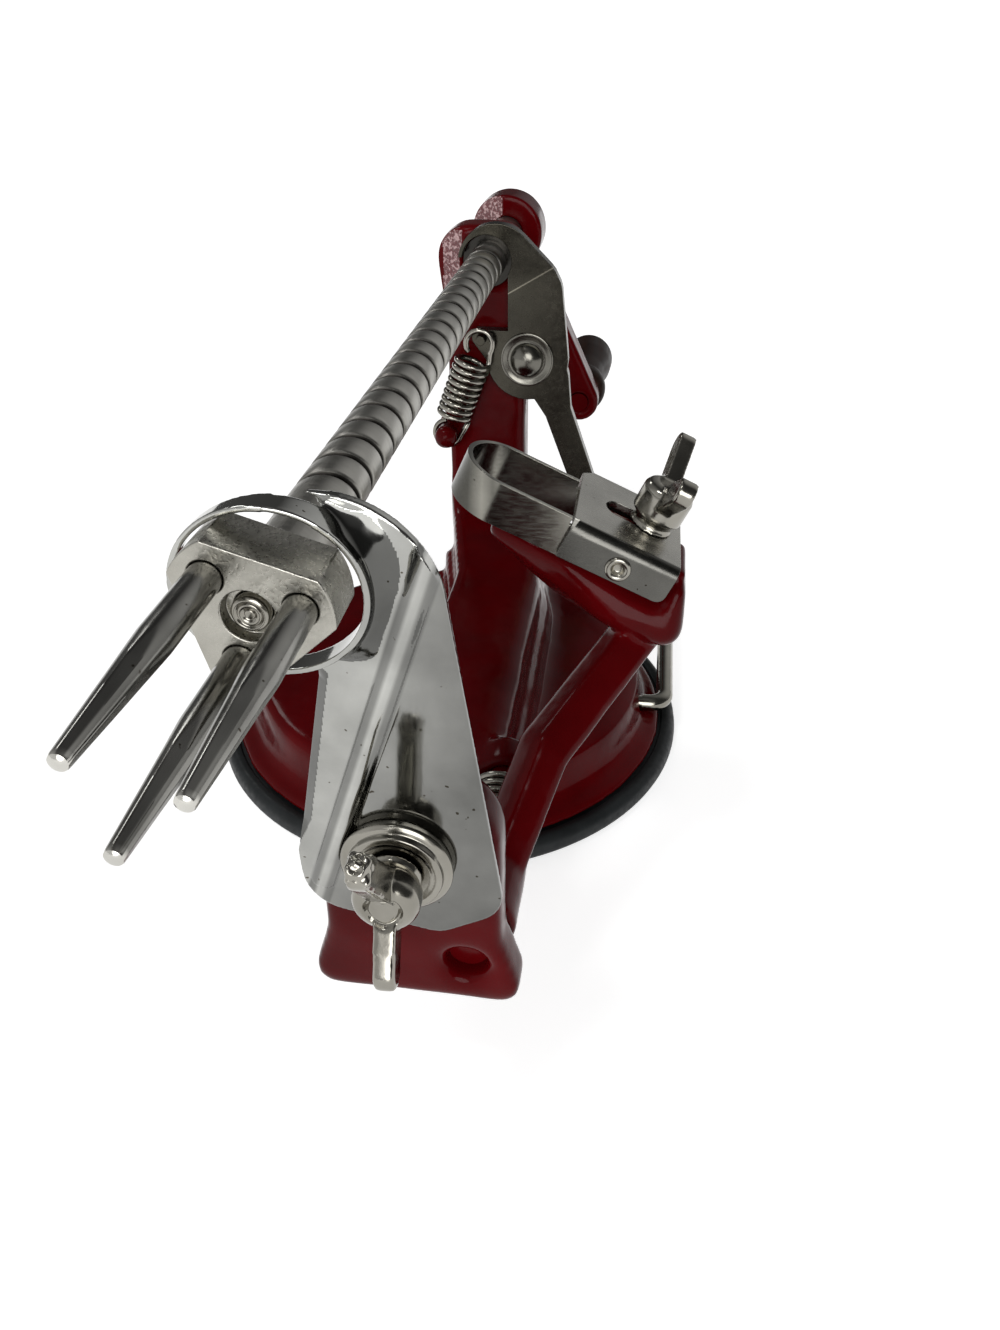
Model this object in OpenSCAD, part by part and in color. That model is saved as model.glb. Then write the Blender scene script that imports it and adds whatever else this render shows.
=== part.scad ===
// Hand-cranked apple peeler, corer and slicer on a suction base.
// Millimetres. X is to the right seen from the fork, Y runs back along the feed screw, Z is up.
// The origin is on the table, under the feed screw and inside the suction base.

/* [Suction base] */
// Distance of the base's centre left of the shaft
base_left = 1; // [0:0.1:2]
// Distance of the base's centre forward of the origin
base_forward = 1.2; // [0:0.1:2]
// Width of the rubber lip outside the flange
cup_lip = 3.5; // [3:0.5:6]
// Height of the cup's rim under the flange
cup_rim_h = 3.5; // [3:0.1:5]
// Thickness of the cup's middle web
cup_web = 2; // [1.5:0.1:2.4]
// Outer radius of the base flange
flange_r = 47.5; // [46:0.5:47.5]
// Thickness of the base flange
flange_t = 2; // [1.5:0.1:2.5]
// Radius of the drum at its top edge
drum_r = 42; // [40:0.5:43]
// Height of the drum's top above the table
drum_h = 15.5; // [15.5:0.5:18]
// Wall thickness of the drum
drum_wall = 4; // [3:0.5:5]

/* [Body casting] */
// Height of the feed screw's axis above the table
axis_h = 88; // [84:1:96]
// Distance from the base centre forward to the bracket's front face
bracket_reach = 93.5; // [88:0.5:100]
// Sideways place of the bracket's middle
bracket_x = 11.4; // [11:0.1:12]
// Width of the bracket's foot
foot_w = 30; // [28.5:0.5:31]
// Width of the bracket above its foot
bracket_w = 24.6; // [24:0.2:26]
// Height of the bracket's lower edge above the table
bracket_low = 18.8; // [17:0.2:19]
// Height of the bracket's top edge
bracket_top = 58; // [57:0.5:64]
// Thickness of the bracket
bracket_t = 7; // [6:0.5:7]
// Height of the beam's top face
beam_top = 29; // [28.5:0.5:30]
// Width of the beam
beam_w = 19.5; // [19:0.5:20]
// Distance from the base centre back to the column's front face
column_y = 51.5; // [50:0.5:56]
// Front-to-back thickness of the column
column_t = 10; // [9:0.5:14]
// Width of the column
column_w = 18.8; // [18:0.2:20]
// Radius of the boss that carries the shaft
boss_r = 7.2; // [7:0.1:8]
// Reach of the boss left of the shaft
boss_left = 12; // [11:0.2:13]

/* [Feed screw and fork] */
// Diameter of the feed screw
shaft_d = 8; // [7.6:0.1:8.4]
// Lead of the screw groove
pitch = 6; // [5.6:0.1:6.2]
// Width of the screw groove
groove_w = 1.5; // [1:0.1:2]
// Depth of the screw groove
groove_depth = 0.8; // [0.4:0.1:1]
// Turns of the screw groove
groove_turns = 22; // [20:1:23]
// Flat sides drawn for each turn of the screw
screw_sides = 18; // [16:1:18]
// Distance of the fork's front face ahead of the bracket
head_reach = 10.1; // [9.5:0.1:11]
// Length of the fork head
head_len = 7; // [6:0.1:8]
// Corner radius of the fork head
head_r = 8.9; // [8.4:0.1:8.9]
// Distance from the axis to each flat of the fork head
head_flat = 6.6; // [6.2:0.1:7]
// Radius of the circle that the prongs stand on
prong_circle = 5.6; // [5.4:0.05:5.7]
// Length of a prong
prong_len = 28.4; // [22:0.2:34]
// Diameter of a prong at its root
prong_d = 3.6; // [3.2:0.1:4]
// Diameter of a prong at its tip
prong_tip_d = 1.9; // [1.4:0.1:2.4]

/* [Crank] */
// Distance from the shaft to the handle
crank_throw = 47; // [43:1:52]
// Angle of the crank, from straight down towards the right
crank_angle = 25; // [10:1:40]
// Gap between the column and the crank hub
crank_gap = 19.5; // [16:0.5:22]
// Length of the crank hub along the shaft
hub_len = 11; // [9:0.5:12]
// Radius of the crank hub
hub_r = 9; // [8.4:0.2:9.6]
// Thickness of the crank arm
crank_t = 8; // [6:0.5:9]
// Length of the grip
grip_len = 38; // [32:1:46]
// Largest diameter of the grip
grip_d = 14.4; // [13.6:0.2:15]
// Diameter of the handle spindle
spindle_d = 5; // [4:0.2:5.6]

/* [Slicer] */
// Thickness of the slicer plate
slicer_t = 1.3; // [1:0.1:1.6]
// Inner radius of the coring ring
ring_r = 9.7; // [9.7:0.1:10]
// Wall of the coring ring
ring_wall = 0.7; // [0.6:0.1:1]
// Length of the coring ring
ring_len = 6.7; // [6:0.1:6.8]
// Sideways place of the slicer's screw
slicer_x = 10.8; // [10.4:0.1:11.2]
// Height of the slicer's screw
slicer_z = 47.5; // [46:0.5:49]
// Radius of the slicer's washer
washer_r = 7.3; // [6.6:0.1:8]
// Reach of a wing from its screw's axis
wing_reach = 13; // [11:0.5:15]
// Reach of the slicer screw's lower wing
low_wing_reach = 10.3; // [9:0.1:13]
// Reach of the peeling head screw's wings
head_wing_reach = 11.4; // [10:0.2:13]
// Thickness of a wing
wing_t = 2.8; // [2.4:0.1:3.4]

/* [Peeling arm] */
// Sideways place of the arm's pivot
pivot_x = 18.7; // [18.4:0.1:19.2]
// Height of the arm's pivot
pivot_z = 26.5; // [26:0.1:27]
// Diameter of the arm's pivot pin
pivot_d = 6; // [5:0.2:6.4]
// Radius of the arm's hub
arm_hub_r = 6.2; // [6:0.1:6.6]
// Length of the arm's hub
arm_hub_len = 18.5; // [17:0.5:18.5]
// Thickness of the arm's square bar
arm_bar = 7; // [6.4:0.2:7.6]
// Tilt of the peeling head
head_tilt = 24; // [20:1:26]
// Length of the blade bracket
bracket_len = 18.5; // [17:0.5:19]
// Width of the blade bracket, front to back
bracket_depth = 17; // [16:0.5:18]
// Reach of the top plate behind the rear flange
plate_tail = 4; // [3:0.5:5]
// Height of the blade bracket's flanges
flange_drop = 6.5; // [5.6:0.1:6.8]
// Thickness of the blade bracket
bracket_plate = 1.2; // [1:0.1:1.4]
// Height of the blade strip
blade_h = 7; // [6.6:0.1:7.2]
// Thickness of the blade strip
blade_t = 0.8; // [0.5:0.1:1]
// Reach of the blade loop past the bracket
blade_reach = 19.2; // [16:0.2:20]

/* [Latch] */
// Thickness of the latch plate
latch_t = 3; // [2:0.1:3.2]
// Sideways place of the latch's rivet
latch_x = 9.6; // [9.2:0.1:9.8]
// Height of the latch's rivet below the shaft
latch_drop = 20.8; // [20:0.2:22]
// Diameter of the latch's rivet
latch_d = 5; // [4:0.2:5.4]
// Radius of the latch round its rivet
latch_r = 9.6; // [9:0.1:10]
// Room round the screw inside the latch's hook
latch_gap = 1.5; // [1.3:0.1:1.8]
// Distance of the spring peg left of the shaft
peg_x = 9.4; // [9:0.1:9.8]
// Height of the spring peg
peg_z = 49; // [47:0.5:51]
// Radius of the spring peg's neck
peg_r = 2.2; // [2:0.1:2.4]

/* [Springs] */
// Wire diameter of the latch spring
latch_wire = 1.3; // [1:0.1:1.35]
// Mean radius of the latch spring's coil
latch_coil_r = 3.9; // [3.4:0.1:4.2]
// Curls of the latch spring
latch_curls = 8; // [6:1:8]
// Wire diameter of the arm's spring
arm_wire = 1.4; // [1:0.1:1.45]
// Mean radius of the arm's spring
arm_coil_r = 5.2; // [5:0.1:5.6]
// Curls of the arm's spring
arm_curls = 4; // [3:1:4]

/* [Suction gear] */
// Diameter of the lever rod inside the base
lever_d = 3; // [2.6:0.1:3.2]
// Diameter of the lever outside the base
lever_hand_d = 3.7; // [3.2:0.1:3.7]
// Height of the lever rod's axis
lever_z = 8; // [7.8:0.1:8.2]
// Distance of the lever rod's axis forward of the base centre
lever_y = 0.8; // [0.4:0.2:3]
// Length of the lever's arm
lever_len = 52; // [40:1:56]
// Radius of the cam
cam_r = 2.7; // [2.6:0.1:2.8]
// Throw of the cam
cam_throw = 1; // [0.8:0.05:1.05]

/* [Fits] */
// Radial clearance of a running fit
run_gap = 0.05; // [0.02:0.01:0.1]
// Clearance between moving faces
free_gap = 0.3; // [0.25:0.01:0.4]

/* [Hidden] */
$fn = 64;

red = "#7a0f1c";
dark_red = "#4a1014";
nickel = "#b8b6ae";
steel = "#a9aaa8";
black = "#15171a";

eps = 0.01;
cup_r = flange_r + cup_lip;
shaft_r = shaft_d / 2;
bracket_y = -bracket_reach;
bracket_back = bracket_y + bracket_t;
plate_y = bracket_y - slicer_t;
ring_front = bracket_y - ring_len;
// The slicer hangs a little low on its screw, so the ring sits just off the shaft's axis.
ring_x = 0.4;
ring_z = axis_h - 0.3;

// Feed screw stations
head_front = bracket_y - head_reach;
head_back = head_front + head_len;
peen_depth = 1;
spigot_r = 2;
counterbore_r = 2.9;
groove_start = bracket_y + 11.9;
column_back = column_y + column_t;
hub_y = column_back + crank_gap;
hub_back = hub_y + hub_len;
nut_t = 5;
nut_r = 7;
screw_end = hub_back + nut_t + 0.6;
bush_r = shaft_r + 1.6;
fork_turn = 77;
prong_root = 5;

// Slicer screw and washer
stud_r = 2.5;
washer_t = 1.8;
washer_y = plate_y - 1;
wing_rise = 0.62;

// Crank handle place
grip_x = crank_throw * sin(crank_angle);
grip_z = axis_h - crank_throw * cos(crank_angle);
crank_y = hub_y + (hub_len - crank_t) / 2;
grip_y = crank_y + crank_t + free_gap;
spindle_cap = 1.6;

// Beam and column
beam_low = bracket_low + 0.7;
beam_mid_x = 7.6;
beam_bend_y = 15;
lug_y = -55;
lug_len = 9;
lug_r = 5.2;
neck_w = 11.5;
column_shift = 0.6;
neck_x0 = bracket_x - bracket_w / 2;
fillet_r = 8;

// Peeling arm
pin_r = pivot_d / 2;
pin_y0 = bracket_y + 3;
pin_y1 = lug_y + lug_len;
hub_y0 = bracket_back + free_gap;
hub_y1 = hub_y0 + arm_hub_len;
head_x = 28;
head_y = -45;
head_z = 71.8;
pad_gap = 0.05;
// Outward directions of the bar's two upper faces, which stand on edge like a diamond
bar_right = [0.654, -0.545, 0.526];
bar_left = [-0.603, 0.049, 0.797];
bar_edge = 1.2;
screw_lx = 12.8;
screw_ly = 11.6;
screw_r = 2;
rivet_lx = 9.6;
rivet_lz = -4;
blade_rivet_r = 1.2;

// Latch
latch_z = axis_h - latch_drop;
latch_back = column_y - free_gap;
latch_front = latch_back - latch_t;
ear_x = -1;
ear_z = latch_z + 4.6;
ear_pin_r = 1.1;
spring_y = latch_front - free_gap - latch_wire;
rivet_r = latch_d / 2;
rivet_tail = column_y + 8;

// Suction gear
cam_angle = 125;
cam_w = 9;
cam_y = -lever_y + cam_throw * cos(cam_angle);
cam_z = lever_z + cam_throw * sin(cam_angle);
cam_gap = 0.4;
stem_w = 11;
stem_z0 = cup_rim_h + 0.1;
stem_disc_t = 1.4;
stem_r = 15;
stem_wall = 1.2;
stem_half = cam_r + cam_throw + cam_gap + 1.4;
stem_top = cam_z + cam_r + cam_gap + stem_wall;
cheek_t = 3;
lever_r = lever_d / 2;
hand_r = lever_hand_d / 2;
bend_r = 3.5;
lever_x = drum_r + 2.6;
spot_x = drum_r + 0.9;

// Extrude an outline drawn in X and Z along Y, from y0 to y1
module along_y(y0, y1) {
  translate([0, y1, 0]) rotate([90, 0, 0]) linear_extrude(y1 - y0) children();
}

// Extrude an outline drawn in Y and Z along X, from x0 to x1
module along_x(x0, x1) {
  translate([x0, 0, 0]) rotate([90, 0, 90]) linear_extrude(x1 - x0) children();
}

// A round bar along Y
module bar_y(x, z, y0, y1, r) {
  translate([x, y1, z]) rotate([90, 0, 0]) cylinder(r = r, h = y1 - y0);
}

// A round bar along X
module bar_x(y, z, x0, x1, r) {
  translate([x0, y, z]) rotate([0, 90, 0]) cylinder(r = r, h = x1 - x0);
}

// A profile turned about an axis along Y: points give radius and distance back
module turned_y(x, y, z) {
  translate([x, y, z]) rotate([-90, 0, 0]) rotate_extrude() children();
}

// Points of an arc about a centre
function arc(c, r, a0, a1, n = 8) = [for (i = [0:n]) c + r * [cos(a0 + (a1 - a0) * i / n), sin(a0 + (a1 - a0) * i / n)]];

// Tube along points: unit vectors, carried frames and rings
function unit(v) = v / norm(v);
function tangent(p, i) = unit(p[min(i + 1, len(p) - 1)] - p[max(i - 1, 0)]);
function carried(p, i, u, out = []) =
  i >= len(p) ? out :
  let (t = tangent(p, i), w = unit(u - (u * t) * t))
  carried(p, i + 1, w, concat(out, [w]));
function self_gap(p, d, apart) =
  min([for (i = [0:len(p) - 1]) for (j = [i + apart:1:len(p) - 1]) norm(p[i] - p[j])]) - d;

module tube(p, d, start_u, sides = 6) {
  u = carried(p, 0, start_u);
  n = len(p);
  points = [
    for (i = [0:n - 1]) for (k = [0:sides - 1])
      p[i] + d / 2 * (cos(360 * k / sides) * u[i] + sin(360 * k / sides) * cross(tangent(p, i), u[i]))
  ];
  walls = [
    for (i = [0:n - 2]) for (k = [0:sides - 1])
      let (a = i * sides + k, b = i * sides + (k + 1) % sides)
      each [[a, a + sides, b], [b, a + sides, b + sides]]
  ];
  caps = [
    for (k = [1:sides - 2])
      each [[0, k, k + 1], [(n - 1) * sides, (n - 1) * sides + k + 1, (n - 1) * sides + k]]
  ];
  polyhedron(points, concat(walls, caps));
}

// Draw about the suction base's centre
module at_base() {
  translate([-base_left, -base_forward, 0]) children();
}

// Low round base: flange, drum wall and top, open underneath
module base_drum() {
  z0 = cup_rim_h;
  z1 = z0 + flange_t;
  rotate_extrude() polygon(concat(
    [[0, drum_h], [drum_r - 2, drum_h]],
    arc([drum_r - 2, drum_h - 2], 2, 90, 0, 4),
    [[drum_r + 1, z1 + 2], [drum_r + 3, z1 + 0.3], [flange_r - 0.8, z1]],
    [[flange_r, z1 - 0.8], [flange_r, z0], [drum_r - drum_wall, z0]],
    [[drum_r - drum_wall, drum_h - drum_wall], [0, drum_h - drum_wall]]
  ));
}

// Beam seen from above, from the column round to the front lug
module beam_plan(grow = 0) {
  h = beam_w / 2 + grow;
  polygon([
    [-h, column_back - 2], [h, column_back - 2], [h, column_y],
    [beam_mid_x + h, beam_bend_y], [beam_mid_x + h + 0.8, lug_y],
    [beam_mid_x - h, lug_y], [beam_mid_x - h, beam_bend_y], [-h, column_y]
  ]);
}

module beam() {
  draft = 2.4;
  translate([0, 0, beam_low]) linear_extrude(beam_top - beam_low) beam_plan();
  intersection() {
    translate([0, 0, drum_h - 1]) linear_extrude(beam_low - drum_h + 3) beam_plan(draft);
    at_base() cylinder(r = drum_r - 1, h = beam_top);
  }
  translate([neck_x0, bracket_y + 1, beam_low]) cube([neck_w, lug_y - bracket_y + 4, beam_top - beam_low]);
}

module column() {
  left = column_w / 2 + column_shift;
  along_y(column_y, column_back) union() {
    translate([-left, beam_low]) square([column_w, axis_h - beam_low]);
    hull() {
      translate([boss_r - boss_left, axis_h]) circle(boss_r);
      translate([column_w - left - boss_r, axis_h]) circle(boss_r);
      translate([3 - left, axis_h - 16]) circle(3, $fn = 32);
    }
  }
  intersection() {
    along_x(-beam_w, beam_w) polygon(concat(
      [[column_y + 1, beam_low], [column_y + 1, beam_top + fillet_r], [column_y, beam_top + fillet_r]],
      arc([column_y - fillet_r, beam_top + fillet_r], fillet_r, 0, -90),
      [[column_y - fillet_r, beam_low]]
    ));
    linear_extrude(axis_h) beam_plan();
  }
}

module front_bracket() {
  corner = 3;
  foot_h = 9;
  top_r = 9;
  top_w = bracket_w - 2 * top_r;
  along_y(bracket_y, bracket_back) union() {
    hull() {
      for (side = [-1, 1]) {
        translate([bracket_x + side * (foot_w / 2 - corner), bracket_low + corner]) circle(corner, $fn = 32);
        translate([bracket_x + side * (bracket_w / 2 - 1), bracket_low + foot_h + 3]) circle(1, $fn = 24);
      }
    }
    translate([bracket_x - bracket_w / 2, bracket_low + foot_h])
      square([bracket_w, bracket_top - top_r - bracket_low - foot_h]);
    translate([bracket_x - top_w / 2, bracket_top - top_r - 1]) square([top_w, top_r + 1]);
    for (side = [-1, 1]) translate([bracket_x + side * top_w / 2, bracket_top - top_r]) circle(top_r);
  }
}

module spring_peg() {
  bar_y(-peg_x, peg_z, column_y - 1.5, column_y + 6, peg_r + 1.2);
  bar_y(-peg_x, peg_z, spring_y - 1, column_y, peg_r);
  translate([-peg_x, spring_y - latch_wire - 1.6, peg_z]) sphere(peg_r + 0.9);
}

module lever_cheeks() {
  for (side = [-1, 1]) {
    x0 = side > 0 ? stem_w / 2 + free_gap : -stem_w / 2 - free_gap - cheek_t;
    z0 = stem_z0 + stem_disc_t + free_gap;
    translate([x0, -lever_y - 5, z0]) cube([cheek_t, 10, drum_h - 1 - z0]);
  }
}

module body_casting() {
  color(red) difference() {
    union() {
      difference() {
        union() {
          at_base() base_drum();
          beam();
        }
        at_base() translate([-stem_w / 2 - free_gap, -lever_y - stem_half - free_gap, 0])
          cube([stem_w + 2 * free_gap, 2 * (stem_half + free_gap), stem_top + free_gap]);
      }
      at_base() lever_cheeks();
      column();
      front_bracket();
      spring_peg();
      bar_y(pivot_x, pivot_z, lug_y, lug_y + lug_len, lug_r);
    }
    bar_y(0, axis_h, column_y - 1, column_back + 1, bush_r + run_gap);
    bar_y(pivot_x, pivot_z, bracket_y - 1, bracket_back + 1, pin_r + run_gap);
    bar_y(pivot_x, pivot_z, lug_y - 1, pin_y1 + eps, pin_r + run_gap);
    bar_y(slicer_x, slicer_z, bracket_y - 1, bracket_back + 1, stud_r + run_gap);
    bar_y(latch_x, latch_z, column_y - 1, rivet_tail, rivet_r + run_gap);
    at_base() bar_x(-lever_y, lever_z, -stem_w / 2 - cheek_t - 1, flange_r + 1, lever_r + run_gap);
    at_base() bar_x(-lever_y, lever_z, spot_x, flange_r + 1, hand_r + free_gap);
  }
}

// Rubber cup with its middle drawn up
module suction_cup() {
  foot_w_r = 11;
  color(black) at_base() rotate_extrude() polygon([
    [0, stem_z0 - cup_web], [stem_r, stem_z0 - cup_web], [cup_r - foot_w_r - 4, 0.6], [cup_r - foot_w_r, 0],
    [cup_r - 0.8, 0], [cup_r, 1.2], [cup_r - 1.2, cup_rim_h + 0.9], [flange_r + free_gap, cup_rim_h + 0.6],
    [flange_r + free_gap, cup_rim_h], [drum_r - drum_wall, cup_rim_h], [drum_r - drum_wall - 5, cup_web + 0.8],
    [stem_r + 1, stem_z0], [0, stem_z0]
  ]);
}

// Stem that the cam lifts: a disc on the cup and a yoke with a window
module suction_stem() {
  window_z0 = cam_z - cam_r - cam_gap;
  window_half = stem_half - 1.4;
  color(steel) at_base() difference() {
    union() {
      translate([0, 0, stem_z0]) cylinder(r = stem_r, h = stem_disc_t);
      translate([-stem_w / 2, -lever_y - stem_half, stem_z0]) cube([stem_w, 2 * stem_half, stem_top - stem_z0]);
    }
    translate([-stem_w, -lever_y - window_half, window_z0])
      cube([2 * stem_w, 2 * window_half, stem_top - stem_wall - window_z0]);
  }
}

// Bent rod: across the base, round a bend and back along its side
module suction_lever() {
  color(nickel) at_base() union() {
    bar_x(-lever_y, lever_z, -stem_w / 2 - cheek_t, lever_x, lever_r);
    bar_x(-lever_y, lever_z, spot_x + free_gap, lever_x, hand_r);
    translate([lever_x, -lever_y + bend_r, lever_z]) rotate([0, 0, -90]) rotate_extrude(angle = 90)
      translate([bend_r, 0]) circle(hand_r);
    bar_y(lever_x + bend_r, lever_z, -lever_y + bend_r, -lever_y + lever_len, hand_r);
    translate([lever_x + bend_r, -lever_y + lever_len, lever_z]) sphere(hand_r);
  }
}

// Eccentric pressed on the rod
module suction_cam() {
  color(steel) at_base() difference() {
    bar_x(cam_y, cam_z, -cam_w / 2, cam_w / 2, cam_r);
    bar_x(-lever_y, lever_z, -cam_w, cam_w, lever_r);
  }
}

// Flanged bush between the column and the screw
module shaft_bush() {
  color(steel) difference() {
    bar_y(0, axis_h, column_y, column_back, bush_r);
    bar_y(0, axis_h, column_y - 1, column_back + 1, shaft_r + run_gap);
  }
}

// Screw: each column of points runs along the shaft, with the groove one step further on at each side
function side_at(n, r) = [r * sin(360 * n / screw_sides), r * cos(360 * n / screw_sides)];
function groove_deep(n, last) = groove_depth * min(1, min(n, last - n) / (screw_sides / 3));
function groove_points(n, last) =
  let (y = groove_start + pitch * n / screw_sides, d = groove_deep(n, last), w = groove_w / 2,
    top = side_at(n, shaft_r), low = side_at(n, shaft_r - d))
  [[top[0], y - w, top[1]], [low[0], y - w * 0.7, low[1]], [low[0], y + w * 0.7, low[1]], [top[0], y + w, top[1]]];

// Triangles from one point to each step of a row of points
function fan(c, row) = [for (i = [0:len(row) - 2]) [c, row[i], row[i + 1]]];

module threaded_bar(tip, y0, y1) {
  s = screw_sides;
  last = s * groove_turns;
  points = concat(
    [for (k = [0:s - 1]) let (q = side_at(k, shaft_r)) [q[0], y0, q[1]]],
    [for (k = [0:s - 1]) let (q = side_at(k, shaft_r)) [q[0], y1, q[1]]],
    [for (n = [0:last]) each groove_points(n, last)],
    [for (y = [y0, tip]) for (k = [0:s - 1]) let (q = side_at(k, spigot_r)) [q[0], y, q[1]]]
  );
  g = 2 * s;
  start_land = [for (k = [1:s - 2]) [k, k + 1, g + 4 * (k + 1), g + 4 * k]];
  first_land = [0, 1, g + 4, g];
  closing_land = fan(g + 4 * (s - 1), [s - 1, 0, g, g + 1, g + 2, g + 3, g + 4 * s]);
  groove_walls = [
    for (n = [0:last - 1]) for (k = [0:2])
      let (a = g + 4 * n + k) [a, a + 4, a + 5, a + 1]
  ];
  lands = [
    for (n = [0:last - s - 1])
      let (a = g + 4 * n + 3, b = g + 4 * (n + s)) [a, a + 4, b + 4, b]
  ];
  end_land = [
    for (k = [1:s - 2])
      let (a = g + 4 * (last - s + k) + 3) [a, a + 4, s + k + 1, s + k]
  ];
  a_end = g + 4 * (last - 1) + 3;
  b_end = g + 4 * last;
  a_open = g + 4 * (last - s) + 3;
  opening_land = fan(a_open + 4, [s + 1, s, b_end + 3, b_end + 2, b_end + 1, b_end, a_open]);
  last_land = [a_end, b_end + 3, s, 2 * s - 1];
  root = g + 4 * (last + 1);
  spigot = [
    for (k = [0:s - 1])
      let (m = (k + 1) % s)
      each [[m, k, root + k, root + m], [root + m, root + k, root + s + k, root + s + m]]
  ];
  faces = concat(spigot, start_land, [first_land], closing_land, groove_walls, lands, end_land, opening_land, [last_land],
    [[for (k = [s - 1:-1:0]) root + s + k]], [[for (k = [0:s - 1]) s + k]]);
  translate([0, 0, axis_h]) polyhedron(points, faces);
}

module feed_screw() {
  color(steel) threaded_bar(head_front + peen_depth, head_back, screw_end);
}

// Rounded three-sided block on the screw's front end
module fork_head() {
  color(nickel) difference() {
    intersection() {
      bar_y(0, axis_h, head_front, head_back, head_r);
      translate([0, 0, axis_h]) along_y(head_front - 1, head_back + 1)
        polygon([for (i = [0:2]) 2 * head_flat * [sin(120 * i + fork_turn), cos(120 * i + fork_turn)]]);
    }
    bar_y(0, axis_h, head_front - 1, head_back + 1, spigot_r + run_gap);
    bar_y(0, axis_h, head_front - 1, head_front + peen_depth + 0.6, counterbore_r);
    for (i = [0:2]) bar_y(prong_x(i), prong_z(i), head_front - 1, head_front + prong_root, prong_d / 2 + run_gap);
  }
}

function prong_x(i) = prong_circle * sin(120 * i + fork_turn);
function prong_z(i) = axis_h + prong_circle * cos(120 * i + fork_turn);

// Three prongs: round for the first half, then tapering to a blunt tip
module fork_prongs() {
  straight = prong_len * 0.45;
  color(nickel) for (i = [0:2]) translate([prong_x(i), head_front + prong_root, prong_z(i)])
    rotate([90, 0, 0]) rotate_extrude() polygon([
      [0, 0], [prong_d / 2, 0], [prong_d / 2, prong_root + straight],
      [prong_tip_d / 2, prong_root + prong_len - 0.5], [prong_tip_d / 2 - 0.4, prong_root + prong_len],
      [0, prong_root + prong_len]
    ]);
}

// Crank: hub on the screw, arm and boss for the handle
module crank_arm() {
  end_r = spindle_d / 2 + 2.8;
  color(red) difference() {
    union() {
      bar_y(0, axis_h, hub_y, hub_back, hub_r);
      along_y(crank_y, crank_y + crank_t) hull() {
        translate([0, axis_h]) circle(hub_r - 4.6, $fn = 32);
        translate([grip_x, grip_z]) circle(end_r, $fn = 32);
      }
    }
    bar_y(0, axis_h, hub_y - 1, hub_back + 1, shaft_r + run_gap);
    bar_y(grip_x, grip_z, crank_y - 1, crank_y + crank_t + 1, spindle_d / 2 + run_gap);
  }
}

module crank_nut() {
  color(nickel) difference() {
    translate([0, hub_back + nut_t, axis_h]) rotate([90, 0, 0]) cylinder(r = nut_r, h = nut_t, $fn = 6);
    bar_y(0, axis_h, hub_back - 1, hub_back + nut_t + 1, shaft_r + run_gap);
  }
}

// Spindle with a domed cap behind the grip
module handle_spindle() {
  y1 = grip_y + grip_len + free_gap;
  color(nickel) turned_y(grip_x, crank_y, grip_z) polygon(concat(
    [[0, 0], [spindle_d / 2, 0], [spindle_d / 2, y1 - crank_y], [spindle_d / 2 + 1.4, y1 - crank_y]],
    [[spindle_d / 2 + 1, y1 - crank_y + 1], [spindle_d / 2 - 0.5, y1 - crank_y + spindle_cap]],
    [[0, y1 - crank_y + spindle_cap]]
  ));
}

// Turned grip: collar, waist and a round end
module handle_grip() {
  r = grip_d / 2;
  bore = spindle_d / 2 + run_gap;
  color(dark_red) turned_y(grip_x, grip_y, grip_z) polygon(concat(
    [[bore, 0], [r - 1.6, 0], [r - 0.6, 2], [r - 0.6, 5], [r - 1.8, 9], [r - 1.4, 16], [r - 0.3, grip_len - 14]],
    arc([r - 6, grip_len - 8], 6, 5, 75, 6),
    [[r - 4.2, grip_len], [bore, grip_len]]
  ));
}

// Latch seen from the front: hook over the screw, rivet disc, spring ear and thumb arm
module latch_outline() {
  hook_r = 8.6;
  notch_up = 6.4;
  difference() {
    union() {
      hull() {
        translate([2.4, axis_h + 0.2]) circle(hook_r, $fn = 32);
        translate([latch_x, axis_h - 5]) circle(hook_r - 1.4, $fn = 32);
      }
      hull() {
        translate([latch_x + 1, axis_h - 6]) circle(hook_r - 1.8, $fn = 32);
        translate([latch_x, latch_z]) circle(latch_r, $fn = 32);
      }
      hull() {
        translate([latch_x + 4.7, latch_z - 4.4]) circle(latch_r - 4.4, $fn = 32);
        translate([latch_x + 7.5, latch_z - 12]) circle(3.2, $fn = 32);
      }
      hull() {
        translate([latch_x + 7.5, latch_z - 12]) circle(3.2, $fn = 32);
        translate([latch_x + 15, latch_z - 31.7]) circle(3, $fn = 32);
      }
      hull() {
        translate([ear_x, ear_z]) circle(ear_pin_r + 1.3, $fn = 32);
        translate([latch_x - 3, latch_z]) circle(latch_r - 4, $fn = 32);
      }
    }
    translate([0.3, axis_h + 0.9]) circle(shaft_r + latch_gap);
    translate([-20, latch_z + notch_up]) square([20 + shaft_r + 1, latch_drop - notch_up]);
    translate([-20, axis_h - 1]) square([20, 2.5]);
    translate([latch_x, latch_z]) circle(rivet_r + run_gap);
  }
}

module latch_plate() {
  color(nickel) union() {
    along_y(latch_front, latch_back) latch_outline();
    bar_y(ear_x, ear_z, spring_y - latch_wire, latch_front + 1, ear_pin_r);
  }
}

// Domed rivet that the latch turns on
module latch_rivet() {
  y0 = latch_front - 0.1;
  dome = rivet_r + 1.5;
  ring = dome + 2.2;
  color(nickel) turned_y(latch_x, y0, latch_z) polygon(concat(
    [[0, rivet_tail - y0], [rivet_r, rivet_tail - y0], [rivet_r, 0], [ring, 0], [ring, -0.5]],
    arc([0, -0.5], dome, 0, -90, 6)
  ));
}

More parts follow.
